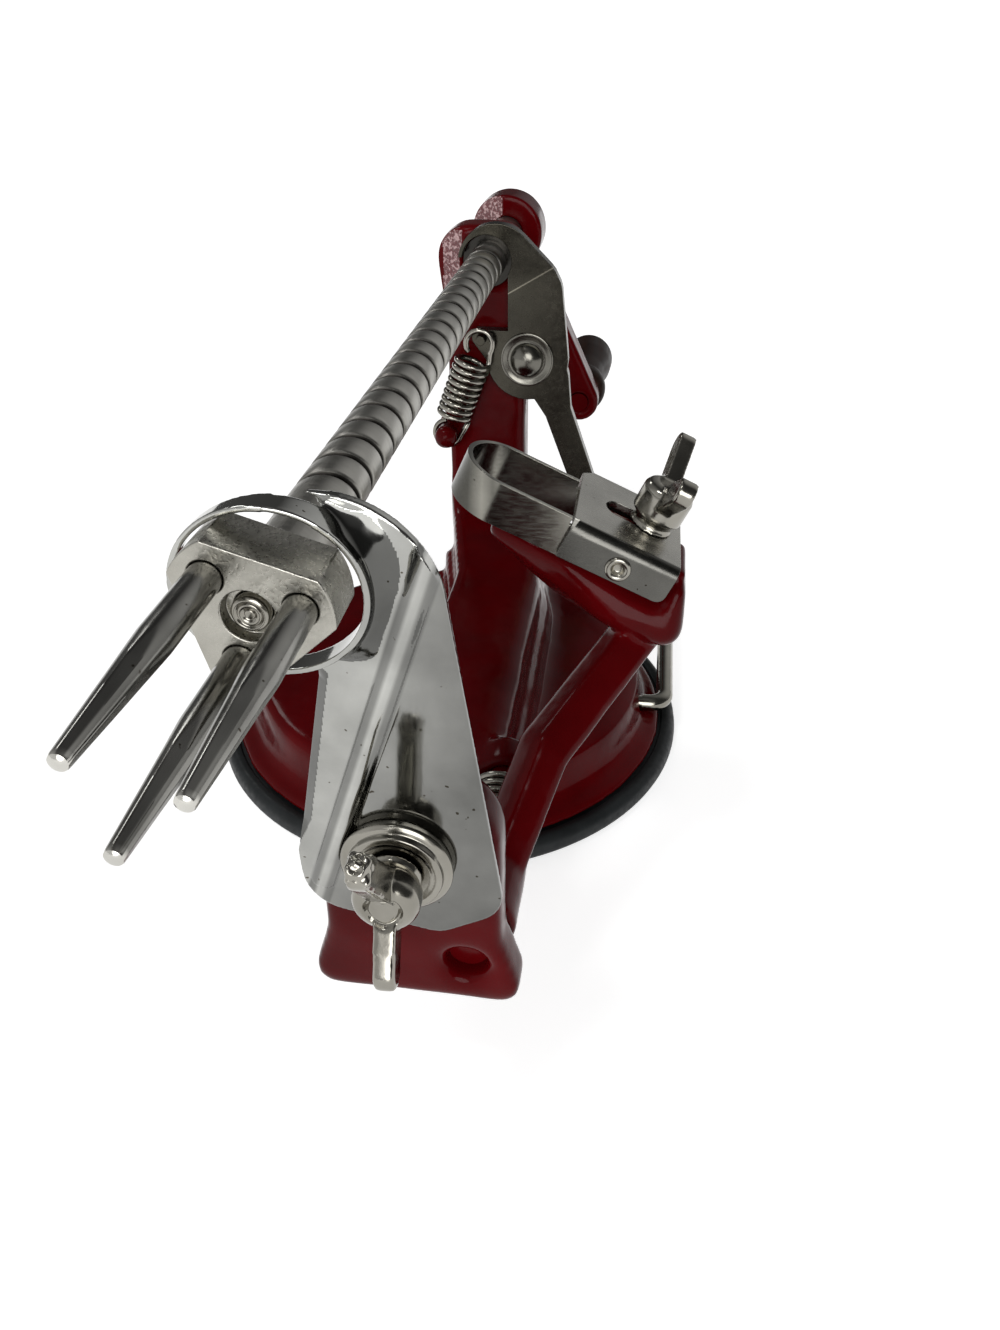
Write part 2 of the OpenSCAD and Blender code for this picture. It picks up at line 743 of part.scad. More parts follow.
// Extension spring: a loop round the peg, the coil, and a loop round the latch's ear
function latch_spring_path() =
  let (
    p = [-peg_x, peg_z], t = [ear_x, ear_z], span = norm(t - p), w = (t - p) / span, n = [w[1], -w[0]],
    low_r = peg_r + free_gap + latch_wire / 2,
    top_r = low_r,
    top_c = span + ear_pin_r + free_gap + latch_wire / 2 - top_r,
    c0 = low_r + 1, c1 = top_c - top_r - 1,
    low_loop = [for (i = [0:10]) let (a = 125 + 255 * i / 10) [low_r * cos(a), 0, low_r * sin(a)]],
    steps = 8 * latch_curls,
    coil = [for (i = [0:steps]) let (a = 360 * latch_curls * i / steps)
      [latch_coil_r * cos(a), latch_coil_r * sin(a), c0 + (c1 - c0) * i / steps]],
    top_loop = [for (i = [0:10]) let (a = -20 + 255 * i / 10) [top_r * cos(a), 0, top_c + top_r * sin(a)]],
    first = low_loop[0] - latch_wire * unit(low_loop[1] - low_loop[0]),
    final = top_loop[10] + latch_wire * unit(top_loop[10] - top_loop[9])
  )
  [for (q = concat([first], low_loop, coil, top_loop, [final]))
    [p[0] + q[0] * n[0] + q[2] * w[0], spring_y + q[1], p[1] + q[0] * n[1] + q[2] * w[1]]];

module latch_spring() {
  path = latch_spring_path();
  echo(latch_spring_gap = self_gap(path, latch_wire, 6));
  color(nickel) tube(path, latch_wire, [0, 1, 0]);
}

// Torsion spring round the pivot pin, with a leg into the hub and one into the lug
function arm_spring_path() =
  let (
    y0 = hub_y1 + free_gap, y1 = lug_y - free_gap, lead = 1.6 * arm_wire,
    a0 = 180, a1 = a0 + 360 * arm_curls + 45, steps = 8 * arm_curls + 1,
    coil = [for (i = [0:steps]) let (a = a0 + (a1 - a0) * i / steps)
      [pivot_x + arm_coil_r * cos(a), y0 + lead + (y1 - y0 - 2 * lead) * i / steps, pivot_z + arm_coil_r * sin(a)]],
    s = coil[0], e = coil[steps]
  )
  concat([[s[0], y0, s[2]], [s[0], y0 + arm_wire, s[2]]], coil, [[e[0], y1 - arm_wire, e[2]], [e[0], y1, e[2]]]);

module arm_spring() {
  path = arm_spring_path();
  echo(arm_spring_gap = self_gap(path, arm_wire, 6));
  color(nickel) tube(path, arm_wire, [1, 0, 0]);
}

// Slicer: one stamped plate, round at the top, with a ground left edge and a pressed rib
module slicer_outline() {
  edge_top = [ring_x + 3, ring_z - ring_r - ring_wall];
  edge_low = [slicer_x - 13.2, slicer_z];
  difference() {
    hull() {
      translate([ring_x + 4.4, ring_z - 3.4]) circle(ring_r + 3.6);
      translate([slicer_x + 8.2, slicer_z - 5.4]) circle(5, $fn = 32);
      translate([slicer_x + 4.2, slicer_z - 8.7]) circle(4.2, $fn = 32);
      translate([slicer_x - 6.9, slicer_z - 4.4]) circle(6.3, $fn = 32);
    }
    polygon([[-30, ring_z + 3], [ring_x, ring_z + 3], [ring_x, edge_top[1]], edge_top, edge_low, [-30, edge_low[1]]]);
    translate([ring_x, ring_z]) circle(ring_r + ring_wall);
    translate([slicer_x, slicer_z]) circle(stud_r + run_gap);
  }
}

module slicer_rib() {
  rib_r = 1.9;
  rib_rise = 1.1;
  top = [ring_x + 16.5, ring_z + 4.5];
  low = [slicer_x - 10.6, slicer_z - 5.6];
  run = top - low;
  intersection() {
    translate([low[0], plate_y - rib_rise + rib_r, low[1]]) rotate([0, atan2(run[0], run[1]), 0])
      cylinder(r = rib_r, h = norm(run));
    translate([-50, plate_y - rib_rise - 1, 0]) cube([100, rib_rise + 1 + eps, axis_h + 30]);
  }
}

module slicer_plate() {
  color(steel) union() {
    along_y(plate_y, bracket_y) slicer_outline();
    intersection() {
      slicer_rib();
      along_y(plate_y - 2, bracket_y) slicer_outline();
    }
  }
}

// Ring with a slanted back, shortest at its free upper left side
module coring_ring() {
  slant = 13;
  reach = ring_r + ring_wall;
  cut_y = bracket_y - reach * tan(slant);
  box = 4 * reach;
  color(steel) difference() {
    bar_y(ring_x, ring_z, ring_front, bracket_y, reach);
    bar_y(ring_x, ring_z, ring_front - 1, bracket_y + 1, ring_r);
    translate([ring_x, cut_y, ring_z]) rotate(a = slant, v = [0.3, 0, 1]) translate([-box / 2, 0, -box / 2])
      cube([box, reach, box]);
  }
}

// Stepped washer under the slicer's wing screw
module slicer_washer() {
  color(nickel) difference() {
    turned_y(slicer_x, washer_y, slicer_z) polygon([
      [stud_r + 0.6, 0], [washer_r, 0], [washer_r, -0.6], [washer_r - 0.8, -1],
      [washer_r - 1.2, -washer_t], [stud_r + 0.6, -washer_t]
    ]);
  }
}

// Wing screw standing on its seat, with two wings spread from the barrel like a V
module wing_screw(shank_r, shank_len, barrel_h, reaches) {
  neck_r = 3.3;
  neck_h = 1.4;
  barrel_r = 4.3;
  tip_r = 2.1;
  rotate_extrude() polygon([
    [0, -shank_len], [shank_r, -shank_len], [shank_r, 0], [neck_r + 0.6, 0], [neck_r, 0.6], [neck_r, neck_h],
    [barrel_r, neck_h + 0.8], [barrel_r, barrel_h - 1.4], [barrel_r - 0.5, barrel_h - 0.5],
    [barrel_r - 1.6, barrel_h], [0, barrel_h]
  ]);
  for (k = [0, 1]) rotate([0, 0, 180 * k]) translate([0, wing_t / 2, 0]) rotate([90, 0, 0])
    linear_extrude(wing_t) hull() {
      translate([1.4, barrel_h - 2.6]) circle(tip_r, $fn = 32);
      translate([reaches[k] - tip_r, barrel_h - 2.6 + (reaches[k] - tip_r) * wing_rise]) circle(tip_r, $fn = 32);
    }
}

module slicer_wing_screw() {
  y0 = washer_y - washer_t - 0.1;
  turn = 4;
  color(nickel) translate([slicer_x, y0, slicer_z]) rotate([90, 0, 0]) rotate([0, 0, 90 + turn])
    wing_screw(stud_r, bracket_back - 1 - y0, 5.9, [wing_reach, low_wing_reach]);
}

// Draw in the peeling head's own frame: origin at the bracket's front left corner
module at_head() {
  translate([head_x, head_y, head_z]) rotate([0, head_tilt, 0]) children();
}

// Boat-shaped seat under the bracket, with a post between the blade's legs
module arm_pad() {
  heel_r = 3.3;
  heel = [15, 2.4, -18.8];
  heel_w = [0, 12.2, 0];
  translate([head_x, head_y, head_z]) {
    hull() {
      translate([-12.5, 9, -6.4]) sphere(2, $fn = 24);
      for (y = [2.5, 15.5]) translate([-1.2, y, -9]) sphere(1, $fn = 16);
      translate([-2.4, 11, -16.2]) sphere(2.5, $fn = 24);
      translate([7.4, 2.4, -16.4]) sphere(3, $fn = 24);
      for (k = [0, 1]) translate(heel + k * heel_w) sphere(heel_r, $fn = 24);
    }
    hull() for (k = [0, 1]) {
      translate(heel + k * heel_w) sphere(heel_r, $fn = 24);
      translate(heel + k * heel_w + [1.8, 0, 6.4]) sphere(1.4, $fn = 16);
    }
  }
  post_y = bracket_plate + blade_t + 1;
  post_sink = 4;
  at_head() translate([3, post_y, -flange_drop - post_sink])
    cube([bracket_len - 1, bracket_depth - 2 * post_y, flange_drop + post_sink - bracket_plate - pad_gap]);
}

// The four rounded edges of the square bar at one station
module bar_station(c) {
  side = arm_bar / 2 - bar_edge;
  for (i = [-1, 1]) for (j = [-1, 1])
    translate(c + side * (i * bar_right + j * bar_left)) sphere(bar_edge, $fn = 16);
}

module peeling_arm() {
  low = [pivot_x + 2.2, hub_y0 + 11.7, pivot_z + 2.3];
  bend = [head_x - 2, head_y - 18, head_z - 30.3];
  top = [head_x + 12, head_y + 7.5, head_z - 21.3];
  color(red) difference() {
    union() {
      bar_y(pivot_x, pivot_z, hub_y0, hub_y1, arm_hub_r);
      hull() {
        bar_station(low);
        bar_station(bend);
      }
      hull() {
        bar_station(bend);
        bar_station(top);
      }
      arm_pad();
    }
    bar_y(pivot_x, pivot_z, hub_y0 - 1, hub_y1 + 1, pin_r + run_gap);
    at_head() translate([screw_lx, screw_ly, -9]) cylinder(r = screw_r + run_gap, h = 12);
  }
}

module arm_pivot_pin() {
  color(nickel) bar_y(pivot_x, pivot_z, pin_y0, pin_y1, pin_r);
}

// Folded bracket: slotted top plate with a flange at the front and one at the back
module blade_bracket() {
  slot_x = 4.8;
  slot_w = 2 * screw_r + 0.8;
  color(nickel) at_head() difference() {
    union() {
      translate([0, 0, -bracket_plate]) linear_extrude(bracket_plate) polygon([
        [0, 0], [bracket_len, 0], [bracket_len, bracket_depth + plate_tail],
        [2, bracket_depth + plate_tail], [0, bracket_depth + plate_tail - 2]
      ]);
      for (y = [0, bracket_depth - bracket_plate])
        translate([0, y, -flange_drop]) cube([bracket_len, bracket_plate, flange_drop]);
    }
    translate([slot_x + slot_w / 2, screw_ly, -2]) cylinder(d = slot_w, h = 3);
    translate([screw_lx + 1, screw_ly, -2]) cylinder(d = slot_w, h = 3);
    translate([slot_x + slot_w / 2, screw_ly - slot_w / 2, -2]) cube([screw_lx + 1 - slot_x - slot_w / 2, slot_w, 3]);
    bar_y(rivet_lx, rivet_lz, -1, bracket_depth + 1, blade_rivet_r);
  }
}

// U-shaped strip whose legs lie inside the bracket's flanges
module peeling_blade() {
  out_r = bracket_depth / 2 - bracket_plate;
  mid = bracket_depth / 2;
  nose_x = out_r - blade_reach;
  leg_end = bracket_len - 2;
  color(steel) at_head() difference() {
    translate([0, 0, -blade_h]) linear_extrude(blade_h) union() {
      difference() {
        translate([nose_x, mid]) circle(out_r);
        translate([nose_x, mid]) circle(out_r - blade_t);
        translate([nose_x, 0]) square([2 * out_r, bracket_depth]);
      }
      for (y = [mid - out_r, mid + out_r - blade_t]) translate([nose_x, y]) square([leg_end - nose_x, blade_t]);
    }
    translate([-0.3, -1, -bracket_plate - pad_gap]) cube([bracket_len + 2, bracket_depth + 2, bracket_plate + 1]);
    bar_y(rivet_lx, rivet_lz, -1, bracket_depth + 1, blade_rivet_r);
  }
}

module blade_rivets() {
  head = 0.6;
  color(nickel) at_head() for (end = [0, 1]) {
    flip = end == 0 ? 1 : -1;
    y = end == 0 ? 0 : bracket_depth;
    translate([rivet_lx, y, rivet_lz]) rotate([-90 * flip, 0, 0]) rotate_extrude() polygon([
      [0, -head], [blade_rivet_r + 0.6, -head], [blade_rivet_r + 1, 0], [blade_rivet_r, 0],
      [blade_rivet_r, bracket_plate + blade_t], [blade_rivet_r + 0.5, bracket_plate + blade_t],
      [blade_rivet_r + 0.3, bracket_plate + blade_t + 0.4], [0, bracket_plate + blade_t + 0.4]
    ]);
  }
}

module bracket_wing_screw() {
  color(nickel) at_head() translate([screw_lx, screw_ly, 0.1]) rotate([0, 0, 90])
    wing_screw(screw_r, 8, 7.6, [head_wing_reach, head_wing_reach]);
}

body_casting();
suction_cup();
suction_stem();
suction_lever();
suction_cam();
shaft_bush();
feed_screw();
fork_head();
fork_prongs();
crank_arm();
crank_nut();
handle_spindle();
handle_grip();
latch_plate();
latch_rivet();
latch_spring();
slicer_plate();
coring_ring();
slicer_washer();
slicer_wing_screw();
peeling_arm();
arm_pivot_pin();
arm_spring();
blade_bracket();
peeling_blade();
blade_rivets();
bracket_wing_screw();
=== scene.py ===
# %% [markdown]
# # A hand-cranked apple peeler on a suction base
#
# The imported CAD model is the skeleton: it says where each piece is and what moves.
# This script dresses it. Cast pieces get soft edges and thick red enamel, sheet
# pieces get rolled edges and a brushed grain, and the springs, the rubber cup and the
# screw are made anew. Lengths are written in millimetres and scaled once, because Blender
# works in metres.

# %% Load the skeleton
from math import cos, exp, pi, radians, sin

import bmesh
import bpy
from mathutils import Matrix, Vector, noise


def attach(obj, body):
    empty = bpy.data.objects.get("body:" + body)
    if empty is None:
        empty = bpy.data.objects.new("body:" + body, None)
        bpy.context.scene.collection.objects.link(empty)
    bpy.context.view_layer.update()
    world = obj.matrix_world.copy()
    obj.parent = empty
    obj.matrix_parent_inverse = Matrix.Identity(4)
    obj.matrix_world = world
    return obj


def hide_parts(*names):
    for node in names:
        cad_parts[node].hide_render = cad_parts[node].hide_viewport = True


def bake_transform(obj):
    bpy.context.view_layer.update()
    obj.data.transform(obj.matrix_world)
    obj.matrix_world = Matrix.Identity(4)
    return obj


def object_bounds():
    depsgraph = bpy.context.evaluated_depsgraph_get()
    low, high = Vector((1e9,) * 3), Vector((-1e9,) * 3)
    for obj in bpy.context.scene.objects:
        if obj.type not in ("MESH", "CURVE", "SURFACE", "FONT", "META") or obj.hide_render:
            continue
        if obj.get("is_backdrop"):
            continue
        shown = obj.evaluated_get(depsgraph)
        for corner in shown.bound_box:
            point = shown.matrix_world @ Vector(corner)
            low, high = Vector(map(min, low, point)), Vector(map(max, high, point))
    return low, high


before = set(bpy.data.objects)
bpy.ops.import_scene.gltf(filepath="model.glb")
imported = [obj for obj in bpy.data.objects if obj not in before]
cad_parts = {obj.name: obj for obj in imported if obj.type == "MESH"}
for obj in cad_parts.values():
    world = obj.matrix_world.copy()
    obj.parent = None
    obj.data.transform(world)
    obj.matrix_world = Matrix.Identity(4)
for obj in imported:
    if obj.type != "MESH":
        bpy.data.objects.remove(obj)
cad_low, cad_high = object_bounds()
MM = 0.001

# %% [markdown]
# ## The camera
# A photograph taken from close by, above the fork and looking down along the screw, so
# the prongs look large. The place and the turn were worked out from how long known
# lengths look near and far. The three directions below are the picture's right, up and
# backward axes, and they go straight into the columns of the camera's matrix.

# %% Camera
SENSOR, FOCAL_PX, PICTURE_H = 36, 1000, 1330
CAMERA_AT = Vector((36.52, -183.30, 139.46))
camera_data = bpy.data.cameras.new("camera")
camera_data.sensor_fit = "VERTICAL"
camera_data.sensor_height = SENSOR
camera_data.sensor_width = SENSOR
camera_data.lens = SENSOR * FOCAL_PX / PICTURE_H
camera_data.clip_start = 0.01
camera = bpy.data.objects.new("camera", camera_data)
bpy.context.scene.collection.objects.link(camera)
picture_right = Vector((0.9898, 0.1424, 0.0))
picture_up = Vector((-0.0801, 0.5566, 0.8269))
backward = Vector((0.1178, -0.8185, 0.5623))
turn = Matrix((picture_right, picture_up, backward)).transposed().to_4x4()
camera.matrix_world = Matrix.Translation(CAMERA_AT * MM) @ turn
bpy.context.scene.camera = camera
print("camera at", [round(x, 4) for x in camera.matrix_world.translation])

# %% [markdown]
# ## Floor, sky and lamps
# The peeler stands on a plain white table in a bright room. The room is bright at the
# front left, where the window is, and dim at the back but for a doorway at the right, so
# upright metal looks bright, plates that face up catch the doorway, and paint and rods seen
# at a low angle stay deep. Soft lamps give the highlights on the enamel. The floor glows a
# little, but only for rays from the camera, from mirrors and through glass, so it looks
# white and lights nothing. The camera itself sees a white wall instead of the room.

# %% Floor and light
scene = bpy.context.scene
scene.view_settings.view_transform = "Standard"


def node_of(tree, kind, **values):
    """Add a shader node and set its plain values and sockets."""
    made = tree.nodes.new(kind)
    for key, value in values.items():
        if hasattr(made, key):
            setattr(made, key, value)
        else:
            made.inputs[key.replace("_", " ")].default_value = value
    return made


def ramp_of(tree, stops):
    """A colour ramp from (position, grey or colour) pairs."""
    ramp = tree.nodes.new("ShaderNodeValToRGB")
    for i, (place, tone) in enumerate(stops):
        stop = ramp.color_ramp.elements[i] if i < 2 else ramp.color_ramp.elements.new(place)
        stop.position = place
        stop.color = (*tone, 1) if isinstance(tone, tuple) else (tone, tone, tone, 1)
    return ramp


def join(tree, *pairs):
    """Link each pair of sockets."""
    for start, end in pairs:
        tree.links.new(start, end)


world = bpy.data.worlds.new("room")
scene.world = world
world.use_nodes = True
sky = world.node_tree
sky.nodes.clear()
direction = node_of(sky, "ShaderNodeTexCoord")


def bright_side(toward, stops):
    """Tone of the sky by how far a direction turns to one side: 0 is away from it, 1 is at it."""
    facing = node_of(sky, "ShaderNodeVectorMath", operation="DOT_PRODUCT")
    facing.inputs[1].default_value = toward
    part_way = node_of(sky, "ShaderNodeMapRange", From_Min=-1.0, From_Max=1.0)
    room = ramp_of(sky, stops)
    join(sky, (direction.outputs["Generated"], facing.inputs[0]),
         (facing.outputs["Value"], part_way.inputs["Value"]),
         (part_way.outputs["Result"], room.inputs["Fac"]))
    return room.outputs["Color"]


WINDOW = (-0.8, -0.55, 0.22)
DOORWAY = (0.6, 0.7, 0.39)
front_room = bright_side(WINDOW, [(0.0, 0.05), (0.5, 0.07), (0.8, 0.3), (1.0, 0.8)])
back_room = bright_side(DOORWAY, [(0.0, 0.0), (0.86, 0.0), (0.96, 0.42), (1.0, 0.6)])
MIX_A, MIX_B, MIX_OUT = 6, 7, 2
whole_room = node_of(sky, "ShaderNodeMix", data_type="RGBA", blend_type="ADD", Factor=1.0)
shine = node_of(sky, "ShaderNodeBackground", Strength=1.0)
sky_out = node_of(sky, "ShaderNodeOutputWorld")
wall = node_of(sky, "ShaderNodeMix", data_type="RGBA")
wall.inputs[MIX_B].default_value = (1, 1, 1, 1)
sky_rays = node_of(sky, "ShaderNodeLightPath")
join(sky, (front_room, whole_room.inputs[MIX_A]), (back_room, whole_room.inputs[MIX_B]),
     (sky_rays.outputs["Is Camera Ray"], wall.inputs["Factor"]),
     (whole_room.outputs[MIX_OUT], wall.inputs[MIX_A]),
     (wall.outputs[MIX_OUT], shine.inputs["Color"]), (shine.outputs[0], sky_out.inputs[0]))

FLOOR_SIZE = 40
floor_bm = bmesh.new()
bmesh.ops.create_grid(floor_bm, x_segments=1, y_segments=1, size=FLOOR_SIZE)
floor_mesh = bpy.data.meshes.new("floor")
floor_bm.to_mesh(floor_mesh)
floor_bm.free()
floor = bpy.data.objects.new("floor", floor_mesh)
scene.collection.objects.link(floor)
floor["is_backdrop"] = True
floor_paint = bpy.data.materials.new("white_table")
floor_paint.use_nodes = True
paint_tree = floor_paint.node_tree
table_top = paint_tree.nodes["Principled BSDF"]
table_top.inputs["Base Color"].default_value = (0.8, 0.8, 0.8, 1)
table_top.inputs["Roughness"].default_value = 0.9
TABLE_GLOW = 0.66
rays = node_of(paint_tree, "ShaderNodeLightPath")
seen = node_of(paint_tree, "ShaderNodeMath", operation="MAXIMUM")
seen_through = node_of(paint_tree, "ShaderNodeMath", operation="MAXIMUM")
strength = node_of(paint_tree, "ShaderNodeMath", operation="MULTIPLY")
strength.inputs[1].default_value = TABLE_GLOW
glow = node_of(paint_tree, "ShaderNodeEmission")
both = node_of(paint_tree, "ShaderNodeAddShader")
join(paint_tree, (rays.outputs["Is Camera Ray"], seen.inputs[0]),
     (rays.outputs["Is Glossy Ray"], seen.inputs[1]), (seen.outputs[0], seen_through.inputs[0]),
     (rays.outputs["Is Transmission Ray"], seen_through.inputs[1]),
     (seen_through.outputs[0], strength.inputs[0]),
     (strength.outputs[0], glow.inputs["Strength"]),
     (table_top.outputs[0], both.inputs[0]), (glow.outputs[0], both.inputs[1]),
     (both.outputs[0], paint_tree.nodes["Material Output"].inputs["Surface"]))
floor_mesh.materials.append(floor_paint)


def soft_sun(name, shining, strength, spread_deg):
    """Even soft light from far away, shining along a direction."""
    data = bpy.data.lights.new(name, "SUN")
    data.energy = strength
    data.angle = radians(spread_deg)
    made = bpy.data.objects.new(name, data)
    scene.collection.objects.link(made)
    made.matrix_world = Vector(shining).to_track_quat("-Z", "Y").to_matrix().to_4x4()


soft_sun("window_light", (-0.1, 0.95, -0.3), strength=1.9, spread_deg=40)
soft_sun("lamp_light", (0.3, 0.25, -0.92), strength=0.3, spread_deg=9)
soft_sun("back_light", (0.5, -0.6, -0.62), strength=0.2, spread_deg=12)

# %% [markdown]
# ## Finishes
# Each finish is a small node tree on Object coordinates, so a pattern stays on its piece
# when the piece moves. Numbers that hold all over a surface sit on the shader's own
# sockets. Noise drives roughness, a little colour and the bump, at the scale that the
# real finish shows.

# %% Helper for finishes


def finish(name, colour, metallic, roughness, **sockets):
    """A new material with its shader, its coordinates and constants set."""
    made = bpy.data.materials.new(name)
    made.use_nodes = True
    tree = made.node_tree
    shader = tree.nodes["Principled BSDF"]
    shader.inputs["Base Color"].default_value = (*colour, 1)
    shader.inputs["Metallic"].default_value = metallic
    shader.inputs["Roughness"].default_value = roughness
    for key, value in sockets.items():
        shader.inputs[key.replace("_", " ")].default_value = value
    place = node_of(tree, "ShaderNodeTexCoord")
    return made, tree, shader, place.outputs["Object"]


def noise_of(tree, place, scale, detail=3.0, stretch=None):
    """A noise texture on a place, stretched along an axis for brushed grain."""
    made = node_of(tree, "ShaderNodeTexNoise", Scale=scale, Detail=detail)
    if stretch:
        mapping = node_of(tree, "ShaderNodeMapping")
        mapping.inputs["Scale"].default_value = stretch
        tree.links.new(place, mapping.inputs["Vector"])
        place = mapping.outputs["Vector"]
    tree.links.new(place, made.inputs["Vector"])
    return made.outputs["Fac"]


def spread(tree, value, low, high, start=0.3, end=0.7):
    """Bring a noise to a range of numbers."""
    made = node_of(tree, "ShaderNodeMapRange")
    for key, number in (("From Min", start), ("From Max", end), ("To Min", low), ("To Max", high)):
        made.inputs[key].default_value = number
    tree.links.new(value, made.inputs["Value"])
    return made.outputs["Result"]


def gloss(tree, shader, value, low, high):
    """Roughness between two numbers by a noise."""
    tree.links.new(spread(tree, value, low, high), shader.inputs["Roughness"])


def bumps(tree, shader, *layers):
    """Chain bump nodes: each layer is a noise, a strength and a depth in metres."""
    last = None
    for value, strength, depth in layers:
        made = node_of(tree, "ShaderNodeBump", Strength=strength, Distance=depth)
        tree.links.new(value, made.inputs["Height"])
        if last:
            tree.links.new(last, made.inputs["Normal"])
        last = made.outputs["Normal"]
    tree.links.new(last, shader.inputs["Normal"])


def tint(tree, shader, value, stops):
    """Colour the surface by a ramp over a noise."""
    made = ramp_of(tree, stops)
    tree.links.new(value, made.inputs["Fac"])
    tree.links.new(made.outputs["Color"], shader.inputs["Base Color"])


# %% [markdown]
# ### Red enamel
# Thick glossy paint on rough cast metal. The paint is a deep wine red, a little darker in
# patches where it pooled, and the casting's skin shows through as a fine orange peel and
# slower waves. Two front faces are ground back and left pitted, so they get a second
# paint whose pale specks are painted glints.

# %% Red enamel
enamel, tree, shader, place = finish("red_enamel", (0.08, 0.001, 0.002), 0.0, 0.15,
                                     Specular_IOR_Level=0.075)
pooling = noise_of(tree, place, 60, 4)
tint(tree, shader, pooling, [(0.3, (0.058, 0.0007, 0.0014)), (0.72, (0.1, 0.0013, 0.0026))])
gloss(tree, shader, noise_of(tree, place, 400), 0.1, 0.22)
bumps(tree, shader, (noise_of(tree, place, 110, 2), 0.4, 0.0006),
      (noise_of(tree, place, 800, 2), 0.12, 0.0001))

# The pale specks in this paint are painted glints on the pitted faces.
pitted_painted_glint_enamel, tree, shader, place = finish("pitted_painted_glint_enamel", (0.14, 0.004, 0.008), 0.0, 0.2,
                                            Specular_IOR_Level=0.9)
pits_and_painted_glints = noise_of(tree, place, 1500, 3)
tint(tree, shader, pits_and_painted_glints, [(0.5, (0.1, 0.003, 0.006)), (0.6, (0.48, 0.3, 0.3))])
bumps(tree, shader, (pits_and_painted_glints, 0.9, 0.0005))

# %% [markdown]
# ### Nickel, plain and as cast
# The fork head, the wing screws, the washer and the springs are plated. Cast faces keep a
# fine sandy grain under the plating, while turned and rubbed pieces are smooth with faint
# streaks. Nickel is a slightly warm white.

# %% Nickel finishes
NICKEL = (0.42, 0.405, 0.365)
cast_nickel, tree, shader, place = finish("cast_nickel", NICKEL, 1.0, 0.3)
grain = noise_of(tree, place, 2200, 2)
gloss(tree, shader, grain, 0.22, 0.4)
tint(tree, shader, noise_of(tree, place, 250, 3),
     [(0.3, (0.36, 0.348, 0.31)), (0.7, (0.46, 0.447, 0.4))])
bumps(tree, shader, (grain, 0.35, 0.00012), (noise_of(tree, place, 420, 2), 0.5, 0.0003))

bright_nickel, tree, shader, place = finish("bright_nickel", NICKEL, 1.0, 0.16)
rub = noise_of(tree, place, 300, 3)
gloss(tree, shader, rub, 0.1, 0.26)
tint(tree, shader, noise_of(tree, place, 120, 3),
     [(0.3, (0.24, 0.229, 0.198)), (0.7, (0.33, 0.316, 0.28))])
bumps(tree, shader, (noise_of(tree, place, 1500, 2), 0.12, 0.00006), (rub, 0.2, 0.00008))

# %% [markdown]
# ### Brushed sheet
# The slicer, the blade, its bracket and the latch are stamped from sheet. Rolling leaves a
# fine directional grain, which is noise squeezed hard along one axis, and use leaves cloudy
# patches and small dark specks. Ground prongs and rivets look alike and share it. Light and
# shade are painted into the colour along one direction: a painted highlight on the latch's
# crease, painted shade and a highlight across the blade, painted dark reflections on the
# slicer's rib and its right part and on the bracket's fold. The prongs are darker away from
# their tips.

# %% Brushed sheet
PALER, DULLER = 1.12, 0.78


def multiply(tree, first, second):
    """The product of two colours."""
    made = node_of(tree, "ShaderNodeMix", data_type="RGBA", blend_type="MULTIPLY", Factor=1.0)
    join(tree, (first, made.inputs[MIX_A]), (second, made.inputs[MIX_B]))
    return made.outputs[MIX_OUT]


def sheet_metal(name, colour, stretch, shine_low, shine_high, toward=(0, 0, 0), near=0.0, far=1.0,
                tone_and_painted_light_stops=((0.0, 1.0), (1.0, 1.0))):
    """Rolled sheet with grain, clouds, specks and painted light along a direction, near to far in
    mm.
    """
    made, tree, shader, place = finish(name, colour, 1.0, shine_low)
    streaks = noise_of(tree, place, 1, 4, stretch)
    cloud = noise_of(tree, place, 110, 5)
    specks = noise_of(tree, place, 1100, 1)
    along = node_of(tree, "ShaderNodeVectorMath", operation="DOT_PRODUCT")
    along.inputs[1].default_value = toward
    tree.links.new(place, along.inputs[0])
    tone_and_painted_light = ramp_of(tree, tone_and_painted_light_stops)
    part_way = spread(tree, along.outputs["Value"], 0.0, 1.0, near * MM, far * MM)
    tree.links.new(part_way, tone_and_painted_light.inputs["Fac"])
    gloss(tree, shader, streaks, shine_low, shine_high)
    pale = tuple(min(1, PALER * c) for c in colour)
    dull = tuple(DULLER * c for c in colour)
    clouds = ramp_of(tree, [(0.3, dull), (0.68, pale)])
    dirt = ramp_of(tree, [(0.755, (1.0, 1.0, 1.0)), (0.78, (0.25, 0.22, 0.18))])
    join(tree, (cloud, clouds.inputs["Fac"]), (specks, dirt.inputs["Fac"]))
    dirtied = multiply(tree, clouds.outputs["Color"], dirt.outputs["Color"])
    shaded = multiply(tree, dirtied, tone_and_painted_light.outputs["Color"])
    tree.links.new(shaded, shader.inputs["Base Color"])
    bumps(tree, shader, (streaks, 0.06, 0.00004), (cloud, 0.08, 0.00015))
    return made


SLICER_GRAIN, EVEN_GRAIN, BLADE_GRAIN = (1600, 1600, 260), (900, 900, 900), (500, 2600, 2600)
RIB_ASIDE, RIB_LINE, RIB_REACH = (0.949, 0, -0.315), -13.0, 14
